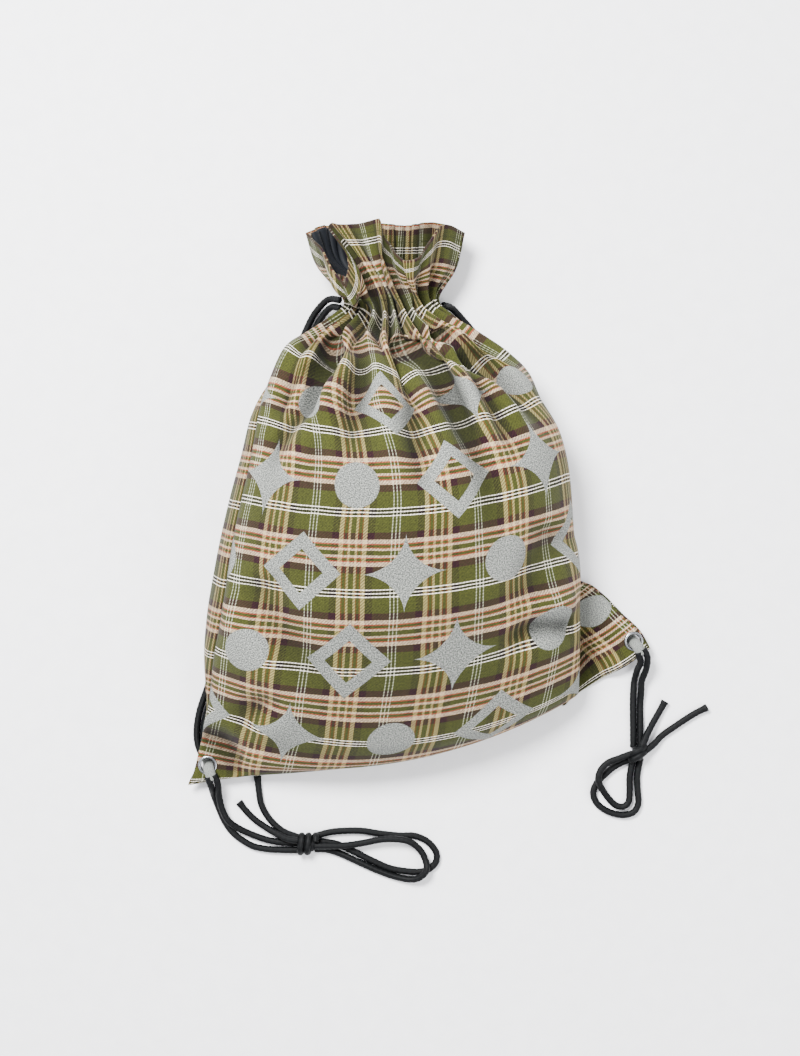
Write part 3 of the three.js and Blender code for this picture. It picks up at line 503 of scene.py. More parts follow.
# %% Sections of the bag
WIDTH = 380
LENGTH = 503
NECK_AT = 79
RUFFLE_MID_AT = 40
CLOTH = 2
PANEL_GAP = 0.75
LAYERS = 2 * CLOTH + PANEL_GAP
HEM_ROUND = 3
EAR_LIFT = 7.5
EAR_MIDDLE = EAR_LIFT + LAYERS / 2
LEFT_EYELET = (-140.3, -172.9)
RIGHT_EYELET = (170.4, -82.6)

SECTIONS = table("v wideL wideR wideZ crestX crestZ floor yL yC yR over turn under seamY", [
    (79, -41, 29, 27, -6, 51, 5, 161, 154, 164, 2, 376, 2, 164),
    (110, -67, 50, 34, -8, 74, 2, 143, 134, 148, 6, 350, 16, 146),
    (139, -84, 78, 42, -4, 92, 0, 131, 111, 127, 8, 330, 36, 124),
    (168, -99, 93, 42, -3, 103, -1, 99, 90, 113, 12, 320, 50, 110),
    (199, -107, 103.5, 41, -2, 111, -1.2, 79, 66, 93, 22, 312, 60, 92),
    (229, -114, 116, 38, 0, 118, -1.2, 52, 39, 66, 30, 309, 66, 70),
    (259, -122, 122, 36, 0, 120, -1.2, 24, 11, 37, 34, 307, 70, 46),
    (319, -134, 126, 33, 0, 113, -1.2, -31, -44, -19, 34, 303, 66, 6),
    (355, -139, 128, 31, 0, 99, -1.2, -64, -77, -48, 28, 296, 44, -16),
    (391, -141.5, 130, 27, 0, 82, -1.2, -94, -110, -80, 18, 290, 26, -34),
    (439, -140, 130, 20, 0, 57, -1.2, -130, -152, -114, 4, 290, 18, -78),
    (456, -143, 130, 14, -4, 45, -1.2, -145, -162, -120, 1, 290, 12, -98),
    (472, -147, 129, 9, -8, 31, -0.8, -163, -170, -122, 0, 290, 6, -112),
    (490, -151, 124, 5, -10, 16, -0.4, -179, -169, -125, 0, 290, 2, -123),
    (499, -154, 121, 2.5, -10, 7, 0, -185, -165, -128, 0, 290, 0.5, -127.5),
    (503, -155, 119, 2.15, -10, 2.3, 2, -188, -162, -130, 0, 290, 0, -130),
])
EAR_SIDE = table("up x y", [
    (0, 183, -88), (20, 176, -75.5), (46, 161.5, -61.5), (66, 152, -51.5), (112, 129, -33),
])
EAR_FOOT = table("inward x y", [(0, 183, -88), (24, 165, -101), (57, 142.6, -113.5), (90, 119, -130)])
FRONT_RUFFLE = table("u rimX rimY rimZ midX midY midZ", [
    (0, -68, 212, 34, -61, 190, 30), (34, -56, 195, 52, -53, 178, 45), (72, -40, 170, 62, -34, 155, 60),
    (106, -36, 187, 50, -25, 168, 55), (145, -51, 218, 39, -29, 189, 45), (185, -32, 216, 50, -22, 188, 51),
    (222, -15, 218, 63, -13, 189, 58), (250, -8, 200, 56, -5, 184, 52), (275, 2, 188, 62, 4, 174, 58),
    (305, 15, 191, 58, 14, 177, 54), (335, 25, 208, 50, 23, 186, 47), (358, 35, 217, 41, 32, 189, 37),
    (380, 47, 213, 28, 41, 188, 26),
])
BACK_RUFFLE = table("u rimX rimY rimZ midX midY midZ", [
    (0, -68, 212, 34, -61, 190, 30), (50, -56, 220, 17, -52, 192, 12), (110, -38, 219, 9, -35, 192, 6),
    (170, -16, 222, 15, -15, 192, 8), (230, 4, 221, 8, 3, 192, 5), (290, 22, 223, 13, 20, 192, 7),
    (335, 37, 220, 14, 34, 190, 10), (380, 47, 213, 28, 41, 188, 26),
])
CREASES = table("top foot wide deep begin end", [
    (78, 44, 17, 10, 96, 235), (196, 205, 15, 13, 90, 320),
    (262, 292, 15, 8, 96, 225), (130, 118, 18, 5, 100, 220),
])


def through(rows, axis, name, at):
    # A smooth curve through one column of a table, with no overshoot between its rows.
    x, y = rows[axis], rows[name]
    slope = np.diff(y) / np.diff(x)
    both = slope[:-1] * slope[1:]
    inner = np.where(both > 0, 2 * both / np.where(both > 0, slope[:-1] + slope[1:], 1), 0)
    tangent = np.concatenate([[slope[0]], inner, [slope[-1]]])
    at = np.clip(at, x[0], x[-1])
    i = np.clip(np.searchsorted(x, at, side="right") - 1, 0, len(x) - 2)
    h = x[i + 1] - x[i]
    t = (at - x[i]) / h
    return (
        (2 * t**3 - 3 * t**2 + 1) * y[i]
        + (t**3 - 2 * t**2 + t) * h * tangent[i]
        + (3 * t**2 - 2 * t**3) * y[i + 1]
        + (t**3 - t**2) * h * tangent[i + 1]
    )


print("highest at the crest", SECTIONS["crestZ"].max(), "mm")

# %% [markdown]
# A section is a closed ring of two halves, over and under the line where it is widest. Each half
# starts as part of an ellipse and grows squarer down the bag, as a filled sack does. Four long
# creases of the front are pressed into it, from the neck down.

# %% One section and the cloth on it
RING_STEPS = 240
# The power of the ring's curve where it is squarest, and from which v over how many mm it gets there.
SQUARED_ABOVE = (0.62, 450, 35)
SQUARED_UNDER = (0.5, 90, 70)
CREASE_FADES = {"in": 0.15, "out": 0.6}
CALM_BY_SEAM = 36
# From here down, over 42 mm, less of the back's width lies round the section: the rest is its ear.
EAR_TURNS = (373, 42)


def to_side(u):
    return np.minimum(u, WIDTH - u)


def to_seam(u, v):
    return np.minimum(to_side(u), LENGTH - v)


def section(v):
    s = {name: float(through(SECTIONS, "v", name, v)) for name in SECTIONS if name != "v"}
    index = np.arange(2 * RING_STEPS + 1)
    turn = math.pi * (1 - index / RING_STEPS)
    c = np.cos(turn)
    d = np.sin(turn)
    above = (index <= RING_STEPS) | (index == 2 * RING_STEPS)
    squared = [mix(1, power, rising(v, start, over)) for power, start, over in (SQUARED_ABOVE, SQUARED_UNDER)]
    power = np.where(above, *squared)
    reach = np.where(c < 0, s["crestX"] - s["wideL"], s["wideR"] - s["crestX"])
    rise = np.where(above, s["crestZ"] - s["wideZ"], s["wideZ"] - s["floor"])
    x = s["crestX"] + reach * np.sign(c) * np.abs(c) ** power
    z = np.maximum(s["wideZ"] + rise * np.sign(d) * np.abs(np.where(np.abs(d) < 1e-9, 0, d)) ** power, 0)
    along = np.concatenate([[0], np.cumsum(np.hypot(np.diff(x), np.diff(z)))])
    return s, x, z, along


def bow(s, x):
    # The curve through three points of the section says how far down the bag each part of it lies.
    xs = (s["wideL"], s["crestX"], s["wideR"])
    ys = (s["yL"], s["yC"], s["yR"])
    y = 0
    for i in range(3):
        j, k = (i + 1) % 3, (i + 2) % 3
        y = y + ys[i] * (x - xs[j]) * (x - xs[k]) / ((xs[i] - xs[j]) * (xs[i] - xs[k]))
    return y


def creased(side, u, v):
    # How deep the long creases of the front lie at a place.
    inward = np.zeros_like(u)
    if side == "front":
        for top, foot, wide, deep, begin, end in zip(*CREASES.values()):
            t = np.clip((v - begin) / (end - begin), 0, 1)
            fade = smooth(t / CREASE_FADES["in"]) * smooth((1 - t) / CREASE_FADES["out"])
            inward = inward + deep * fade * np.exp(-(((u - mix(top, foot, t)) / wide) ** 2))
    return inward * smooth(to_side(u) / CALM_BY_SEAM)


def body_row(side, u, v):
    s, x, z, along = section(v)
    total = along[-1]
    half = along[RING_STEPS]
    left_seam = s["over"]
    right_seam = half + s["under"]

    def on_ring(place):
        return np.interp(place % total, along, x), np.interp(place % total, along, z)

    if side == "back":
        share = np.minimum(u / mix(WIDTH, s["turn"], rising(v, *EAR_TURNS)), 1)
        place = mix(left_seam + total, right_seam, share)
        y = mix(bow(s, on_ring(left_seam)[0]), s["seamY"], share)
    else:
        share = np.clip((u - s["turn"]) / (WIDTH - s["turn"]), 0, 1)
        place = np.where(u <= s["turn"], mix(left_seam, half, u / s["turn"]), mix(half, right_seam, share))
        y = np.where(u <= s["turn"], bow(s, on_ring(place)[0]), mix(s["yR"], s["seamY"], smooth(share)))
    px, pz = on_ring(place)
    (ax, az), (bx, bz) = on_ring(place - 1), on_ring(place + 1)
    size = np.maximum(np.hypot(bx - ax, bz - az), 1e-6)
    inward = creased(side, u, v)
    creased_x = px + (bz - az) / size * inward
    creased_z = np.maximum(pz - (bx - ax) / size * inward, 0)
    return np.stack([creased_x, y, creased_z], axis=-1)


print("round the section at the neck", round(section(NECK_AT)[3][-1]), "mm")

# %% [markdown]
# Above the neck the cloth opens into a ruffle, laid through its own points. At the lower right corner
# a flat ear of both panels sticks out. Both lower corners are lifted where the cords pass under them,
# and the cloth lies level round the eyelets.

# %% Ruffle, ear and the room for the cords
UNDERPASSES = [
    [(-144, -126), (-147, -145), (-145, -158), LEFT_EYELET],
    [(120, -30), (123, -37), (130, -48), (141, -57), (153, -65.5), RIGHT_EYELET],
]
BELOW_NECK_AT = 110
# Distances in mm at which one form gives way to the next: where it starts, and over how far.
EAR_BESIDE = {"from": 40, "front": 50, "back": 90}
EAR_BACK_NARROWS = (430, 40)
EAR_ABOVE_HEM = (88, 42)
LIFT_BESIDE_CORD = (8, 30)
LIFT_UNDER_BELLY = (8, 32)
FLAT_ROUND_EYELET = (20, 14)


def ruffle_rows(side, u, rows):
    ruffle = FRONT_RUFFLE if side == "front" else BACK_RUFFLE
    middle, rim = (
        np.stack([through(ruffle, "u", kind + axis, u) for axis in "XYZ"], axis=-1) for kind in ("mid", "rim")
    )
    levels = np.stack([body_row(side, u, BELOW_NECK_AT), body_row(side, u, NECK_AT), middle, rim])
    out = []
    for v in rows:
        upper = (NECK_AT - v) / (NECK_AT - RUFFLE_MID_AT)
        t = (1 + upper) / 3 if upper <= 1 else (2 + (RUFFLE_MID_AT - v) / RUFFLE_MID_AT) / 3
        out.append(np.stack([along_spline(levels[:, k], np.array([min(t, 1)]))[0] for k in range(len(u))]))
    return np.stack(out, axis=1)


def ear_share(side, u, v):
    front = EAR_BESIDE["front"]
    spread = front if side == "front" else mix(EAR_BESIDE["back"], front, rising(v, *EAR_BACK_NARROWS))
    return falling(WIDTH - u, EAR_BESIDE["from"], spread) * falling(LENGTH - v, *EAR_ABOVE_HEM)


def ear_points(side, inward, up):
    layer = LAYERS if side == "front" else 0
    spots = [
        through(EAR_SIDE, "up", axis, up) + through(EAR_FOOT, "inward", axis, inward) - EAR_FOOT[axis][0]
        for axis in "xy"
    ]
    return np.stack([*spots, layer * np.minimum(np.minimum(inward, up) / HEM_ROUND, 1)], axis=-1)


def lift_at(p):
    away = np.full(p.shape[:2], np.inf)
    for path in UNDERPASSES:
        for a, b in zip(np.array(path[:-1]), np.array(path[1:])):
            t = np.clip(((p[..., :2] - a) @ (b - a)) / ((b - a) @ (b - a)), 0, 1)
            away = np.minimum(away, np.linalg.norm(p[..., :2] - (a + t[..., None] * (b - a)), axis=-1))
    return EAR_LIFT * falling(away, *LIFT_BESIDE_CORD) * falling(p[..., 2], *LIFT_UNDER_BELLY)


def away_from(eyelet, points):
    return np.linalg.norm(points[..., :2] - np.array(eyelet), axis=-1)


def panel_face(side, u, v):
    neck_rows = int(np.sum(v < NECK_AT))
    body = np.stack([body_row(side, u, row) for row in v[neck_rows:]], axis=1)
    uu, vv = np.meshgrid(u, v[neck_rows:], indexing="ij")
    share = ear_share(side, uu, vv)[..., None]
    body = mix(body, ear_points(side, WIDTH - uu, LENGTH - vv), share)
    body[..., 2] += lift_at(body)
    edge = np.minimum(to_seam(uu, vv) / HEM_ROUND, 1)
    level = EAR_MIDDLE + LAYERS / 2 * edge * (1 if side == "front" else -1)
    for eyelet in (LEFT_EYELET, RIGHT_EYELET):
        body[..., 2] = mix(body[..., 2], level, falling(away_from(eyelet, body), *FLAT_ROUND_EYELET))
    return np.concatenate([ruffle_rows(side, u, v[:neck_rows]), body], axis=1)


print("middle of the cloth at the eyelets", EAR_MIDDLE, "mm up")

# %% [markdown]
# ## Two panels, sewn at their seams
# Each panel is a grid of about 2.5 mm, fine enough for the gathers. Both share the seam line, and
# the seam is drawn in a little, since its allowance is turned inside.

# %% Panel grids
COLUMNS = 152
ROWS = 201
columns = np.linspace(0, WIDTH, COLUMNS + 1)
rows_down = np.linspace(0, LENGTH, ROWS + 1)
grid_u, grid_v = np.meshgrid(columns, rows_down, indexing="ij")
grid_steps = (columns[1], rows_down[1])
WHOLE = slice(None)
SEWN_LINES = [(0, WHOLE), (-1, WHOLE), (WHOLE, -1)]


def blurred_grid(grid, passes):
    soft = grid.copy()
    for _ in range(passes):
        soft[1:-1] = (soft[:-2] + 2 * soft[1:-1] + soft[2:]) / 4
        soft[:, 1:-1] = (soft[:, :-2] + 2 * soft[:, 1:-1] + soft[:, 2:]) / 4
    return soft


def outward(grid, side):
    # The way out of the bag, from a slightly blurred grid, so that it doesn't jump at small folds.
    soft = blurred_grid(grid, 2)
    away = unit(np.cross(np.gradient(soft, axis=1), np.gradient(soft, axis=0)))
    return away if side == "front" else -away


def sew(grids):
    for where in SEWN_LINES:
        line = (grids["front"][where] + grids["back"][where]) / 2
        grids["front"][where] = line
        grids["back"][where] = line


def area_share(grid):
    a = grid[1:, :-1] - grid[:-1, :-1]
    b = grid[:-1, 1:] - grid[:-1, :-1]
    return np.linalg.norm(np.cross(a, b), axis=-1).sum() / (WIDTH * LENGTH)


faces_mm = {side: panel_face(side, columns, rows_down) for side in ("front", "back")}
sew(faces_mm)
print("grid steps", round(grid_steps[0], 2), "by", round(grid_steps[1], 2), "mm")

# %% [markdown]
# ## Valleys of the front
# Long soft valleys run over the front, most of them down from the neck. Each is a line over the floor,
# with the cloth beside it pushed up on one side. They are placed as in the photograph.

# %% Valleys
# The line over the floor in mm, how deep and how wide the valley is, and its pushed-up side.
VALLEYS = [
    ([(-2, 150), (2, 120), (7, 90), (12, 45), (14, 10)], 9, 9, 1),
    ([(-42, 138), (-52, 112), (-70, 84), (-86, 58), (-94, 28)], 8, 8, -1),
    ([(-20, 146), (-27, 112), (-34, 78), (-38, 40)], 5, 8, 1),
    ([(20, 146), (32, 108), (46, 74), (54, 36)], 6, 9, -1),
    ([(40, 136), (56, 104), (73, 66), (82, 30)], 8, 8, 1),
    ([(48, 130), (70, 112), (90, 88), (104, 58)], 6, 8, 1),
    ([(-60, 120), (-84, 92), (-100, 62)], 5, 8, -1),
    ([(-104, -30), (-90, -62), (-70, -90), (-40, -112)], 3.5, 16, 1),
    ([(112, 6), (96, -30), (84, -60), (60, -84)], 4, 15, -1),
    ([(126, -70), (96, -72), (64, -92)], 5, 9, 1),
    ([(-128, -150), (-104, -128), (-76, -118)], 4, 9, 1),
]
VALLEY_GAIN = 1.45
VALLEY_STEP = 2
# Shares of a valley's length: over which it comes in, then from which and over which it goes out.
VALLEY_IN = 0.12
VALLEY_OUT = (0.45, 0.55)
# How soon it fades beyond the ends of its line, in square mm: to about a third at 8 mm.
VALLEY_BEYOND = 60
# The ridge beside it: a share of its depth, and its distance in widths.
RIDGE = {"high": 0.55, "off": 1.7}


def valleys(grid):
    depth = np.zeros(grid.shape[:2])
    for line, deep, wide, pushed in VALLEYS:
        route = even_route([(x, y, 0) for x, y in line], VALLEY_STEP)
        along = unit(np.gradient(route, axis=0))
        offset = grid[..., None, :2] - route[:, :2]
        away = np.linalg.norm(offset, axis=-1)
        beside = offset[..., 0] * along[:, 1] - offset[..., 1] * along[:, 0]
        nearest = away.argmin(axis=-1)[..., None]
        near, signed = (np.take_along_axis(field, nearest, axis=-1)[..., 0] for field in (away, beside))
        share = nearest[..., 0] / (len(route) - 1)
        fade = smooth(share / VALLEY_IN) * falling(share, *VALLEY_OUT)
        beyond = np.exp(-np.maximum(near**2 - signed**2, 0) / VALLEY_BEYOND)
        valley = np.exp(-((signed / wide) ** 2))
        ridge = RIDGE["high"] * np.exp(-(((signed - RIDGE["off"] * pushed * wide) / wide) ** 2))
        depth = depth + VALLEY_GAIN * deep * (valley - ridge) * fade * beyond
    return depth


print("deepest valley", round(float(valleys(faces_mm["front"]).max()), 1), "mm")

# %% [markdown]
# ## Gathers
# Cloth can't shrink, so where a panel has more width than the shape has room it must fold. How
# steep the sides of the folds are follows from the spacing of the grid there, so that they take up
# the cloth's own width. Their depth has a limit, so some of the width is lost. The folds go inward,
# so the outline stays. They are uneven, dense at the neck, and die out down the front, while the
# back lies in long soft pleats under the bag and, being longer than the bag lies, slumps into folds
# across it.

# %% Sizes of the folds
FOLD_COUNT = {"front": 11, "back": 8}
FOLD_GAIN = {"front": 1.0, "back": 1.4}
FOLD_DEPTH = table("v front back", [
    (0, 2, 4), (40, 6, 9), (66, 14, 15), (79, 17, 16), (110, 14, 18), (139, 9, 20), (199, 3, 21),
    (240, 0.6, 21), (330, 0, 20), (390, 0, 16), (440, 0, 6), (470, 0, 1), (503, 0, 0),
])
SLUMP = {"apart": 36, "deep": 18}
NECK_PLEATS = {"per_fold": 2.6, "deep": 1.6}
SHARP = {"fold": 0.96, "slump": 0.95}
# Slow waves over the cloth shift the folds, so that no two are alike. Each has its size, how many mm
# across and down the cloth turn it by a radian, and where it starts. FLAT is a way in which it
# doesn't change.
FLAT = np.inf
FOLD_WAVES = [(0.17, WIDTH / 10.7, FLAT, 0.4), (0.06, WIDTH / 27, FLAT, 1), (0.1, 60, 45, 0)]
PLEAT_WAVES = [(0.2, FLAT, 17, 0)]
SLUMP_WAVES = [(10, 38, FLAT, 1), (8, 21, 60, 0)]
# Distances across or down the cloth in mm: where a change starts, and over how far.
SPLITS_ABOVE = (105, 70)
PLEATS_FROM, PLEATS_TO = (48, 25), (90, 45)
SLUMP_FROM, SLUMP_TO, SLUMP_BESIDE = (96, 40), (410, 50), (46, 30)
CALM_SIDE = 12
TIGHT_STRIP, TIGHT_BELOW = (34, 26), (150, 50)
CALM_ROUND_EYELET = (30, 30)
SEAM_GROOVE = {"deep": 1.8, "wide": 7, "below": (60, 40)}
SHEET_THICK = 1.5
print("folds across:", FOLD_COUNT)

# %% [markdown]
# The depth of the folds at each place is the lesser of what the cloth needs there and of its limit.
# It is calmed beside the seams, round the eyelets and on the ears, and a shallow groove marks each
# seam. Every point then moves straight inward by its depth.

# %% Fold the panels
def wandering(waves):
    return sum(size * np.sin(grid_u / across + grid_v / down + start) for size, across, down, start in waves)


def fold_wave(place, sharp):
    # Once up to about 0.9 and down to about 0.1 for each whole place, with nearly straight sides.
    return 0.5 + np.arcsin(sharp * np.cos(2 * math.pi * place)) / math.pi


def blurred(field, passes):
    for _ in range(passes):
        for axis in (0, 1):
            field = (np.roll(field, 1, axis) + 2 * field + np.roll(field, -1, axis)) / 4
    return field


def steepness(grid, axis):
    # How steep folds must be to fit the cloth into the room that the grid gives it.
    spacing = np.linalg.norm(np.gradient(grid, axis=axis), axis=-1) / grid_steps[axis]
    return blurred(np.sqrt(np.clip(1 - spacing**2, 0, 1)), 3)


def slumped(grid):
    apart = SLUMP["apart"]
    wave = fold_wave((grid_v + wandering(SLUMP_WAVES)) / apart, SHARP["slump"])
    under = rising(grid_v, *SLUMP_FROM) * falling(grid_v, *SLUMP_TO) * rising(grid_u, *SLUMP_BESIDE)
    return np.minimum(SLUMP["deep"], FOLD_GAIN["back"] * steepness(grid, 1) * apart / 2) * wave * under


def gather_depth(grid, side):
    count = FOLD_COUNT[side]
    phase = count * grid_u / WIDTH + wandering(FOLD_WAVES)
    folds_per_mm = np.maximum(np.gradient(phase, axis=0) / grid_steps[0], 0.5 * count / WIDTH)
    # Towards the neck each fold of the back splits into two.
    split = falling(grid_v, *SPLITS_ABOVE) if side == "back" else 0
    fitting = FOLD_GAIN[side] * steepness(grid, 0) / folds_per_mm / 2 / (1 + split)
    room = np.minimum(through(FOLD_DEPTH, "v", side, grid_v), fitting)
    wave = mix(fold_wave(phase, SHARP["fold"]), fold_wave(2 * phase, SHARP["fold"]), split)
    pleats = 0.5 - 0.5 * np.cos(2 * math.pi * (NECK_PLEATS["per_fold"] * phase + wandering(PLEAT_WAVES)))
    at_neck = rising(grid_v, *PLEATS_FROM) * falling(grid_v, *PLEATS_TO)
    return room * wave + NECK_PLEATS["deep"] * at_neck * pleats


def folded(grid, side):
    depth = gather_depth(grid, side) + (slumped(grid) if side == "back" else valleys(grid))
    depth = depth * smooth(to_side(grid_u) / CALM_SIDE)
    if side == "back":
        # The strip of the back that shows beside the left seam is stretched smooth.
        depth = depth * mix(1, rising(grid_u, *TIGHT_STRIP), rising(grid_v, *TIGHT_BELOW))
    groove = falling(to_seam(grid_u, grid_v), 0, SEAM_GROOVE["wide"]) * rising(grid_v, *SEAM_GROOVE["below"])
    calm = ear_share(side, grid_u, grid_v)
    for eyelet in (LEFT_EYELET, RIGHT_EYELET):
        calm = np.maximum(calm, falling(away_from(eyelet, grid), *CALM_ROUND_EYELET))
    inward = (depth + SEAM_GROOVE["deep"] * groove) * (1 - calm)
    moved = grid - outward(grid, side) * inward[..., None]
    # Where the cloth doubles over on the floor, one thickness of it lies below the line drawn here.
    moved[..., 2] = np.maximum(moved[..., 2], SHEET_THICK)
    return moved


for side in ("front", "back"):
    before = area_share(faces_mm[side])
    faces_mm[side] = blurred_grid(folded(faces_mm[side], side), 1)
    print(side, "panel: area kept", round(before, 3), "then", round(area_share(faces_mm[side]), 3))
sew(faces_mm)

# %% [markdown]
# ## Brushed cotton flannel, yarn-dyed and woven in a twill
# The check repeats every 60 mm both ways: three thin white lines on moss green, then a dark band, and
# a band of cream crossed by thin rust and green lines, and the same order back again. Each place mixes
# the colour of the yarn down and the yarn across, which follows how the cloth is made, and the mix
# swings along the diagonal of the twill. The dashes on the white lines are about 2.4 mm apart. Cotton
# has an IOR near 1.53. The brushed nap gives it a high roughness and a trace of sheen at the edges.

# %% Colours and stripes of the check
PITCH = 60
TWILL = 2.4
# Where the check starts on each panel, in mm from the left seam and from the rim.
CHECK_AT = {"front": (13.5, 19), "back": (-24, 25)}
# The stripes across show whiter in the creams and browner in the darks than the stripes down, so each
# way has yarn colours of its own. They are set for this light.
YARNS = {
    "warp": {
        "moss": "#313410", "pine": "#22260e", "dark": "#14070a",
        "cream": "#b7a36c", "rust": "#6a3018", "white": "#c9cdb0",
    },
    "weft": {
        "moss": "#313410", "pine": "#100f07", "dark": "#240c11",
        "cream": "#a58f77", "rust": "#82392a", "white": "#f2eada",
    },
}
SETT = [
    (0.0, "white"), (0.007, "pine"), (0.036, "white"), (0.05, "moss"), (0.248, "dark"), (0.335, "cream"),
    (0.383, "rust"), (0.4, "moss"), (0.43, "rust"), (0.445, "cream"), (0.472, "moss"), (0.528, "cream"),
    (0.555, "rust"), (0.57, "moss"), (0.6, "rust"), (0.617, "cream"), (0.665, "dark"), (0.752, "moss"),
    (0.95, "white"), (0.964, "pine"), (0.993, "white"),
]
# The stripes across are also the stronger ones, so more of the weft is let show than of the warp.
WEFT_SHARE = 0.69
# The range in which a yarn line wanders, in checks: about half a millimetre to each side.
YARN_WANDERS = 0.018
print("a white line is", round((SETT[3][0] - SETT[2][0]) * PITCH, 2), "mm wide")

# %% [markdown]
# The rim has a hem, and two rows of stitching hold the channel for the cord. The thread is a dark
# green, and it lies in a shallow furrow. Dashes in the colour and the relief draw it.

# %% Stitches
STITCH_ROWS = (11, 68, 92)
STITCH = {"long": 3.2, "thick": 0.8, "shown": 0.72, "high": 1.4, "colour": "#23260f"}
FURROW = {"half_wide": 1.3, "deep": 0.8}
# The shader counts from where the front's check starts. The back's check starts 6 mm lower, and its
# rows of stitching come out 6 mm lower with it.
LINE_UP = CHECK_AT["front"]


def add_stitches(node, across, down, colour, height):
    rows = None
    for row in STITCH_ROWS:
        off = node("Math", [down, (row - LINE_UP[1]) / PITCH], operation="SUBTRACT")
        off = node("Math", [off], operation="ABSOLUTE")
        rows = off if rows is None else node("Math", [rows, off], operation="MINIMUM")
    on_row = node("Math", [rows, STITCH["thick"] / 2 / PITCH], operation="LESS_THAN")
    place = node("Math", [across, PITCH / STITCH["long"]], operation="MULTIPLY")
    place = node("Math", [place], operation="FRACT")
    dash = node("Math", [place, STITCH["shown"]], operation="LESS_THAN")
    thread = node("Math", [on_row, dash], operation="MULTIPLY")
    sewn = node("Mix", {0: thread, 6: colour, 7: linear(STITCH["colour"])}, data_type="RGBA").outputs[2]
    furrow = node("Math", [rows, FURROW["half_wide"] / PITCH], operation="LESS_THAN")
    height = node("Math", [furrow, -FURROW["deep"], height], operation="MULTIPLY_ADD")
    return sewn, node("Math", [thread, STITCH["high"], height], operation="MULTIPLY_ADD")


print("rows of stitching at", STITCH_ROWS, "mm from the rim")

# %% [markdown]
# The front carries a print in heather grey. A plain design of discs, open diamonds and stars on a
# half-drop layout is drawn from distances measured on the cloth, so it bends with the folds. It has
# five whole rows, from below the neck to above the bottom hem.

# %% The print on the front
# In mm across and down the cloth: the room of a motif, the corner that it is counted from, and
# between which heights the print lies.
PRINT_CELL = (74, 66)
PRINT_FROM = (30, 140)
PRINT_ENDS = (140, 470)
# The ink fades out over this range about the edge of a motif, in mm, and stands up a little.
PRINT_EDGE = (-0.4, 0.2)
PRINT_HIGH = 0.6
# Each motif is the line where x to a power and y to the same power add up to its size to that power.
# The power 2 gives a disc, 1 a diamond, and less than 1 a star with hollow sides.
MOTIFS = {"disc": (2, 17), "diamond": (1, 23), "star": (0.6, 30)}
# The diamond is open, and its outline is this wide at the corners.
DIAMOND_LINE = 13
HEATHER = [(0.4, "#444744"), (0.5, "#686a66"), (0.6, "#8c8e88")]


def add_print(node, uv, across, down, colour, height):
    cells = []
    for place, axis in ((across, 0), (down, 1)):
        place = node("Math", [place, PITCH, LINE_UP[axis] - PRINT_FROM[axis]], operation="MULTIPLY_ADD")
        cells.append(node("Math", [place, PRINT_CELL[axis]], operation="DIVIDE"))
    column, row = cells
    row_index = node("Math", [row], operation="FLOOR")
    odd = node("Math", [row_index, 2], operation="MODULO")
    column = node("Math", [odd, 0.5, column], operation="MULTIPLY_ADD")
    column_index = node("Math", [column], operation="FLOOR")
    off_centre = []
    for place, cell in zip((column, row), PRINT_CELL):
        place = node("Math", [place], operation="FRACT")
        place = node("Math", [place, 0.5], operation="SUBTRACT")
        place = node("Math", [place, cell], operation="MULTIPLY")
        off_centre.append(node("Math", [place], operation="ABSOLUTE"))
    motifs = {}
    for name, (power, size) in MOTIFS.items():
        powers = [node("Math", [place, power], operation="POWER") for place in off_centre]
        reach = node("Math", powers, operation="ADD")
        reach = node("Math", [reach, 1 / power], operation="POWER")
        motifs[name] = node("Math", [reach, size], operation="SUBTRACT")
    line = node("Math", [motifs["diamond"]], operation="ABSOLUTE")
    line = node("Math", [line, DIAMOND_LINE / 2], operation="SUBTRACT")
    # The three follow one another along a row, and each row starts with another of them. The 30 keeps
    # the count positive, since the remainder of a negative one would be negative.
    kind = node("Math", [row_index, 2, column_index], operation="MULTIPLY_ADD")
    kind = node("Math", [kind, 30], operation="ADD")
    kind = node("Math", [kind, 3], operation="MODULO")
    is_disc = node("Math", [kind, 0.5], operation="LESS_THAN")
    is_star = node("Math", [kind, 1.5], operation="GREATER_THAN")
    shape = node("Mix", {0: is_disc, 2: line, 3: motifs["disc"]})
    shape = node("Mix", {0: is_star, 2: shape, 3: motifs["star"]})
    inside = node("MapRange", [shape, *PRINT_EDGE, 1, 0])
    for end, operation in zip(PRINT_ENDS, ("GREATER_THAN", "LESS_THAN")):
        between = node("Math", [down, (end - LINE_UP[1]) / PITCH], operation=operation)
        inside = node("Math", [inside, between], operation="MULTIPLY")
    speck = node("TexNoise", {"Vector": uv, "Scale": 64, "Detail": 3})
    heather = node("ValToRGB", [speck], stops=HEATHER)
    printed = node("Mix", {0: inside, 6: colour, 7: heather}, data_type="RGBA").outputs[2]
    return printed, node("Math", [inside, PRINT_HIGH, height], operation="MULTIPLY_ADD")


print("five rows from", PRINT_ENDS[0], "to", PRINT_ENDS[1], "mm from the rim")

# %% [markdown]
# The flannel itself: the yarns of both ways, their mix, the nap, then stitches and print. The studio
# light is softer than the folds need, so hollows are darkened and ridges made paler in the colour.
# That follows the cloth's shape and not the camera.

# %% Flannel
# A hollow is counted up to 1 and a ridge down to this. Both change the colour's brightness: painted shade in
# the hollows and painted light on the ridges.
RIDGE_LEAST = -0.5
RIDGE_PAINTED_LIGHT = 1.12
HOLLOW_PAINTED_SHADE = 0.36


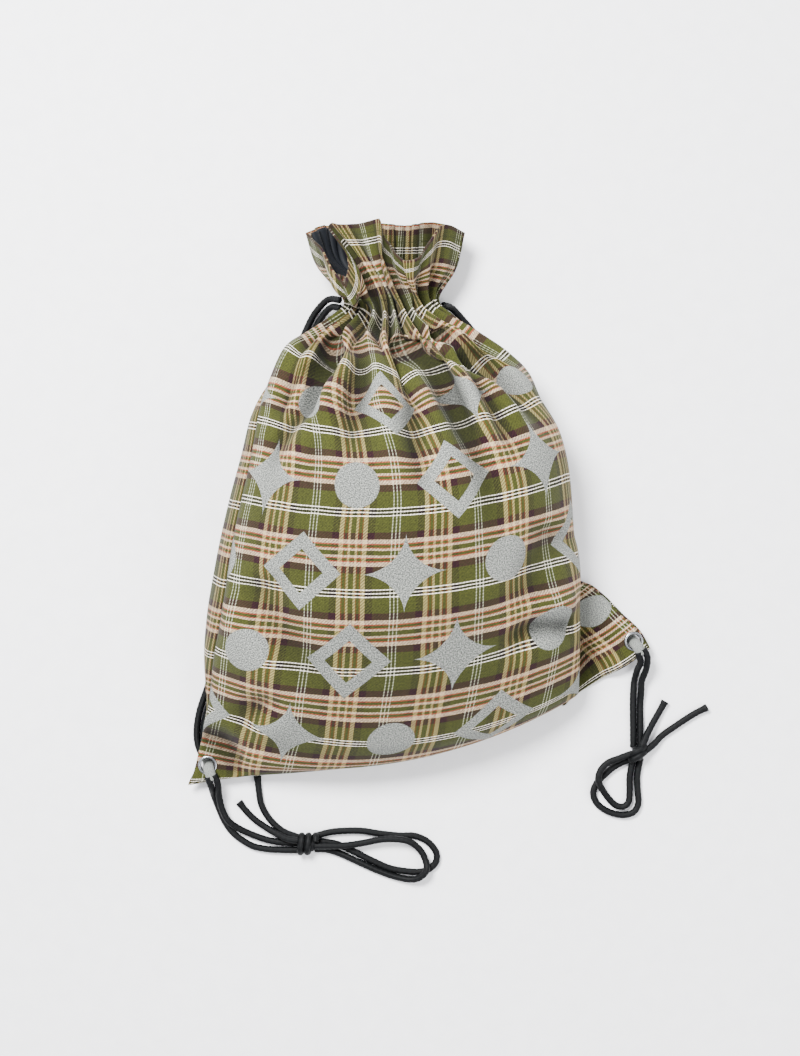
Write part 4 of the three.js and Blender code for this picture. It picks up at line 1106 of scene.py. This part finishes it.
def make_brushed_flannel(name, printed):
    material, node, finish = new_material(name)
    uv = node("UVMap", uv_map="cloth")
    across, down = node("SeparateXYZ", [uv]).outputs[:2]
    yarns = []
    for axis, way in enumerate(("warp", "weft")):
        wander = node("TexNoise", {"Vector": uv, "Scale": 2.2 + axis, "Detail": 1})
        place = node("Math", [wander, YARN_WANDERS, (across, down)[axis]], operation="MULTIPLY_ADD")
        place = node("Math", [place, YARN_WANDERS / 2], operation="SUBTRACT")
        share = node("Math", [place], operation="FRACT")
        ramp = node("ValToRGB", [share], stops=[(at, YARNS[way][yarn]) for at, yarn in SETT])
        ramp.color_ramp.interpolation = "CONSTANT"
        yarns.append(ramp)
    diagonal = node("Math", [across, down], operation="ADD")
    diagonal = node("Math", [diagonal, 2 * math.pi * PITCH / TWILL], operation="MULTIPLY")
    twill = node("Math", [diagonal], operation="SINE")
    nap = node("TexNoise", {"Vector": uv, "Scale": 46, "Detail": 3, "Roughness": 0.75})
    # How much of the weft shows: its share on average, more or less with the nap and along the twill.
    weft = node("Math", [nap, 0.9, WEFT_SHARE - 0.45], operation="MULTIPLY_ADD")
    weft = node("Math", [twill, 0.22, weft], operation="MULTIPLY_ADD")
    weft = node("Clamp", [weft, 0.3, 0.95])
    woven = node("Mix", {0: weft, 6: yarns[0], 7: yarns[1]}, data_type="RGBA").outputs[2]
    # Uneven dye, fibres that catch the light or don't, and the lines of the twill.
    mottle = node("TexNoise", {"Vector": uv, "Scale": 14, "Detail": 4})
    mottle = node("MapRange", [mottle, 0, 1, 0.78, 1.06])
    fibres = node("MapRange", [nap, 0.36, 0.64, 0.62, 1.38])
    fibres = node("Math", [twill, 0.1, fibres], operation="MULTIPLY_ADD")
    shade = node("Math", [mottle, fibres], operation="MULTIPLY")
    colour = node("VectorMath", {0: woven, 3: shade}, operation="SCALE")
    height = node("Math", [twill, 0.35, nap], operation="MULTIPLY_ADD")
    colour, height = add_stitches(node, across, down, colour, height)
    if printed:
        colour, height = add_print(node, uv, across, down, colour, height)
    # Painted shade in the hollows of the folds and painted light on their ridges, read from the map kept with
    # the mesh.
    painted_shade = node("Attribute", attribute_name="painted_shade").outputs["Fac"]
    painted_shade = node("MapRange", [painted_shade, RIDGE_LEAST, 1, RIDGE_PAINTED_LIGHT, HOLLOW_PAINTED_SHADE])
    finish({
        "Base Color": node("VectorMath", {0: colour, 3: painted_shade}, operation="SCALE"),
        "Normal": node("Bump", {"Strength": 0.45, "Distance": 0.0004, "Height": height}),
        "Roughness": 0.9,
        "IOR": 1.53,
        "Specular IOR Level": 0.15,
        "Sheen Weight": 0.04,
        "Sheen Roughness": 0.5,
    })
    return material


flannel = {
    "front": make_brushed_flannel("printed_flannel", True),
    "back": make_brushed_flannel("plain_flannel", False),
}
print("flannels:", [cloth.name for cloth in flannel.values()])

# %% [markdown]
# The grids become meshes. The check's place on each panel is stored with the mesh, in pitches, and
# the cloth is given its thickness inward, so that the rim shows a real edge. It is cut out inside
# each eyelet, and its cut edge lies under the ring.

# %% Panels
HOLE = {"edge": 5.7, "overlap": 0.4}
HOLLOW = {"deep": 2.6, "blurs": 36}
# Only the back's inside shows at the mouth, and shade is painted into its colour there, where the front
# shades it.
MOUTH_SHADE = {"dark": 0.6, "from": (225, 40), "to": (60, 30)}


def with_eyelet_holes(grid, faces):
    points = grid.reshape(-1, 3).copy()
    faces = np.array(faces)
    for eyelet in (LEFT_EYELET, RIGHT_EYELET):
        centres = points[faces].mean(axis=1)
        faces = faces[away_from(eyelet, centres) > HOLE["edge"] - HOLE["overlap"]]
        away = away_from(eyelet, points)
        inside = (away < HOLE["edge"]) & (away > 0.1)
        offset = points[inside, :2] - eyelet
        points[inside, :2] = eyelet + offset * (HOLE["edge"] / away[inside])[:, None]
    return points, faces.tolist()


def hollows(grid, side):
    # How far the cloth lies below its surroundings, which a strong blur gives, sets the shade painted into
    # its colour. A ridge is less than 0 and gets painted light.
    below = np.sum((blurred_grid(grid, HOLLOW["blurs"]) - grid) * outward(grid, side), axis=-1)
    painted_shade = np.clip(below / HOLLOW["deep"], RIDGE_LEAST, 1)
    if side == "back":
        # Painted shade on the back's inside at the mouth.
        mouth = rising(grid_u, *MOUTH_SHADE["from"]) * falling(grid_v, *MOUTH_SHADE["to"])
        painted_shade = np.maximum(painted_shade, MOUTH_SHADE["dark"] * mouth)
    return painted_shade


def give_thickness(piece, thick, offset):
    solid = piece.modifiers.new("cloth_thickness", "SOLIDIFY")
    solid.thickness = thick * MM
    solid.offset = offset


def panel_piece(side):
    grid = faces_mm[side]
    faces = quads(*grid.shape[:2])
    if side == "back":
        faces = [face[::-1] for face in faces]
    uv = (np.stack([grid_u, grid_v], axis=-1) - CHECK_AT[side]) / PITCH
    points, faces = with_eyelet_holes(grid, faces)
    piece = new_mesh_piece(f"flannel_{side}", points, faces, flannel[side], uv)
    # The shade and light to be painted into the colour, kept with each point of the mesh.
    painted_shade = hollows(grid, side)
    layer = piece.data.attributes.new("painted_shade", "FLOAT", "POINT")
    layer.data.foreach_set("value", painted_shade.ravel())
    give_thickness(piece, SHEET_THICK, -1)
    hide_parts(f"{side}_panel")
    print(side, "panel:", len(faces), "faces, share in hollows", round(float((painted_shade > 0.3).mean()), 2))


for side in ("front", "back"):
    panel_piece(side)

# %% [markdown]
# ## Lining
# A strip of smooth navy cotton lines the mouth and shows dark in its left lobe. Its weave is plain,
# with a fine, even thread, and the dye is nearly black with a trace of blue. It follows the inside
# of the back panel, a little clear of it, so it is made from the same grid.

# %% Navy lining
LINING = {"from_u": 6, "to_u": 128, "from_v": 1, "to_v": 70, "clear": 0.6, "thick": 0.8}


def make_navy_cotton():
    material, node, finish = new_material("navy_cotton")
    thread = node("TexNoise", {"Vector": node("UVMap", uv_map="cloth"), "Scale": 60, "Detail": 3})
    finish({
        "Base Color": node("ValToRGB", [thread], stops=[(0.3, "#010306"), (0.7, "#040912")]),
        "Normal": node("Bump", {"Strength": 0.4, "Distance": 0.0003, "Height": thread}),
        "Roughness": 0.7,
        "IOR": 1.53,
        "Specular IOR Level": 0.2,
    })
    return material


def lining_piece():
    grid = faces_mm["back"]
    inside = grid - outward(grid, "back") * (SHEET_THICK + LINING["clear"])
    across = (columns >= LINING["from_u"]) & (columns <= LINING["to_u"])
    down = (rows_down >= LINING["from_v"]) & (rows_down <= LINING["to_v"])
    strip = np.ix_(across, down)
    patch = inside[strip]
    uv = np.stack([grid_u[strip], grid_v[strip]], axis=-1) / PITCH
    faces = quads(*patch.shape[:2])
    piece = new_mesh_piece("navy_mouth_lining", patch, faces, make_navy_cotton(), uv)
    give_thickness(piece, LINING["thick"], 0)
    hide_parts("mouth_lining")
    print("lining", len(piece.data.polygons), "faces")


lining_piece()

# %% [markdown]
# ## Eyelets
# Each is a ring pressed from thin bright metal, taken to be aluminium: two rounded flanges and a
# barrel between. It is turned from a half-section, with its rims rounded as a setting tool leaves
# them. Pressed aluminium is a bright cool grey. The die and handling leave fine scratches, which
# change its gloss from place to place.

# %% Pressed aluminium eyelets
EYELET = {"bore": 5, "barrel": 5.5, "flange": 7, "lip": 0.8, "clear": 0.3, "arc_points": 9, "turns": 72}
EYELET_HALF = LAYERS / 2 + EYELET["clear"]


def make_pressed_aluminium():
    material, node, finish = new_material("pressed_aluminium")
    wear = node("TexNoise", {"Vector": node("TexCoord").outputs["Object"], "Scale": 900, "Detail": 4})
    finish({
        "Base Color": node("ValToRGB", [wear], stops=[(0.3, "#6c6d70"), (0.7, "#a6a8ac")]),
        "Roughness": node("MapRange", [wear, 0, 1, 0.14, 0.34]),
        "Metallic": 1,
    })
    return material


def eyelet_piece(side, centre):
    middle = (EYELET["bore"] + EYELET["flange"]) / 2
    half_lip = (EYELET["flange"] - EYELET["bore"]) / 2
    arc = np.linspace(0, math.pi, EYELET["arc_points"])
    top = [(middle - half_lip * math.cos(a), EYELET_HALF + EYELET["lip"] * math.sin(a)) for a in arc]
    barrel = [(EYELET["barrel"], EYELET_HALF), (EYELET["barrel"], -EYELET_HALF)]
    bottom = [(r, -z) for r, z in reversed(top)]
    r, z = np.array(top + barrel + bottom).T
    turns = np.linspace(0, 2 * math.pi, EYELET["turns"], endpoint=False)[:, None]
    ring = np.stack(np.broadcast_arrays(
        centre[0] + np.cos(turns) * r, centre[1] + np.sin(turns) * r, EAR_MIDDLE + z
    ), axis=-1)
    faces = quads(*ring.shape[:2], closed=(1, 1))
    piece = new_mesh_piece(f"pressed_eyelet_{side}", ring, faces, pressed_aluminium)
    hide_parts(f"eyelet_{side}")


pressed_aluminium = make_pressed_aluminium()
eyelet_piece("left", LEFT_EYELET)
eyelet_piece("right", RIGHT_EYELET)
print("eyelet level", EAR_MIDDLE, "mm")

# %% [markdown]
# ## Sleeves
# A short tube of pale grey felt holds each doubled cord where it passes the eyelet. Its line rises
# through the ring and bends over its edge. It is a thin wall, open at both ends, since a solid rod
# would show no opening for the cords. Felt is matted, not woven: dark and pale fibres mix at random,
# and the surface is lumpy.

# %% Felt sleeves
SLEEVE = {"wide": 7.8, "thick": 5, "wall": 0.7, "sides": 32, "side_step": 0.7, "ring_step": 0.6}
# Distances in mm along the sleeve's heading, from the middle of the eyelet, and heights there.
SLEEVE_LINE = table("along z", [
    (-9.5, 2.9), (-6.5, 2.9), (-4, 3), (-2, 3.6), (-0.2, 5), (0.8, 7), (1, 9.6), (1, 11.9), (1.6, 13.8),
    (3, 15.1), (5, 15.8), (8, 16), (11, 15.6),
])
# Headings in radians, from straight down the photograph towards its right.
LEFT_HEADING = 0.358
RIGHT_HEADING = 0.55


def make_grey_felt():
    material, node, finish = new_material("grey_felt")
    fibre = node("TexNoise", {"Vector": node("UVMap", uv_map="cloth"), "Scale": 2.4, "Detail": 4})
    finish({
        "Base Color": node("ValToRGB", [fibre], stops=[(0.38, "#363836"), (0.62, "#8b8e89")]),
        "Normal": node("Bump", {"Strength": 0.5, "Distance": 0.0004, "Height": fibre}),
        "Roughness": 0.92,
        "IOR": 1.53,
    })
    return material


def sleeve_piece(side, eyelet, heading):
    way = np.array([math.sin(heading), -math.cos(heading), 0])
    level = np.array([math.cos(heading), math.sin(heading), 0])
    points = np.array([*eyelet, 0]) + SLEEVE_LINE["along"][:, None] * way + SLEEVE_LINE["z"][:, None] * UP
    route = even_route(points, SLEEVE["ring_step"])
    over = np.cross(unit(np.gradient(route, axis=0)), level)
    turn = np.linspace(0, 2 * math.pi, SLEEVE["sides"], endpoint=False)[:, None]
    walls = []
    for wall, order in ((0, 1), (SLEEVE["wall"], -1)):
        wide, thick = SLEEVE["wide"] / 2 - wall, SLEEVE["thick"] / 2 - wall
        skin = route[:, None] + level * (wide * np.cos(turn)) + over[:, None] * (thick * np.sin(turn))
        walls.append(skin[::order])
    rings = np.concatenate([*walls, walls[0][:1]])
    spots = np.arange(SLEEVE["sides"]) * SLEEVE["side_step"], np.arange(len(rings)) * SLEEVE["ring_step"]
    uv = np.stack(np.meshgrid(*spots), axis=2)
    faces = quads(*rings.shape[:2], closed=(0, 1))
    piece = new_mesh_piece(f"felt_sleeve_{side}", rings, faces, grey_felt, uv)
    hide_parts(f"sleeve_{side}")
    print("sleeve", side, "about", round(SLEEVE["ring_step"] * len(route)), "mm")


grey_felt = make_grey_felt()
sleeve_piece("left", LEFT_EYELET, LEFT_HEADING)
sleeve_piece("right", RIGHT_EYELET, RIGHT_HEADING)

# %% [markdown]
# ## Room and light
# A white sweep under a large soft overhead light, with pale surroundings, gives the even light and
# the faint shadow of a studio flat lay. The paper is matt, so the lamps leave no highlight on it.

# %% Floor and light
REACH = 6
SURROUNDINGS = ("#f3f4f8", 1.2)


def make_white_paper():
    material, node, finish = new_material("white_paper")
    grain = node("TexNoise", {"Scale": 900, "Detail": 2})
    finish({
        "Base Color": node("ValToRGB", [grain], stops=[(0.3, "#f6f6f8"), (0.7, "#fbfbfd")]),
        "Roughness": 0.95,
        "Specular IOR Level": 0.1,
    })
    return material


def soft_light(name, place, size, watts):
    light = bpy.data.lights.new(name, "AREA")
    light.shape = "DISK"
    light.size = size
    light.energy = watts
    lamp = bpy.data.objects.new(name, light)
    lamp.location = place
    lamp.rotation_euler = Vector(place).to_track_quat("Z", "Y").to_euler()
    bpy.context.scene.collection.objects.link(lamp)
    print(name, watts, "W")


floor_mesh = bpy.data.meshes.new("paper_sweep")
corners = [(-REACH, -REACH, 0), (REACH, -REACH, 0), (REACH, REACH, 0), (-REACH, REACH, 0)]
floor_mesh.from_pydata(corners, [], [(0, 1, 2, 3)])
floor_mesh.materials.append(make_white_paper())
paper_sweep = bpy.data.objects.new("paper_sweep", floor_mesh)
bpy.context.scene.collection.objects.link(paper_sweep)

world = bpy.data.worlds.new("studio")
world.use_nodes = True
background = world.node_tree.nodes["Background"]
background.inputs[0].default_value = linear(SURROUNDINGS[0])
background.inputs[1].default_value = SURROUNDINGS[1]
bpy.context.scene.world = world

soft_light("overhead_softbox", (-0.6, 0.75, 1.5), 0.7, 122)
soft_light("side_fill", (1.0, -0.5, 1.3), 1.2, 24)
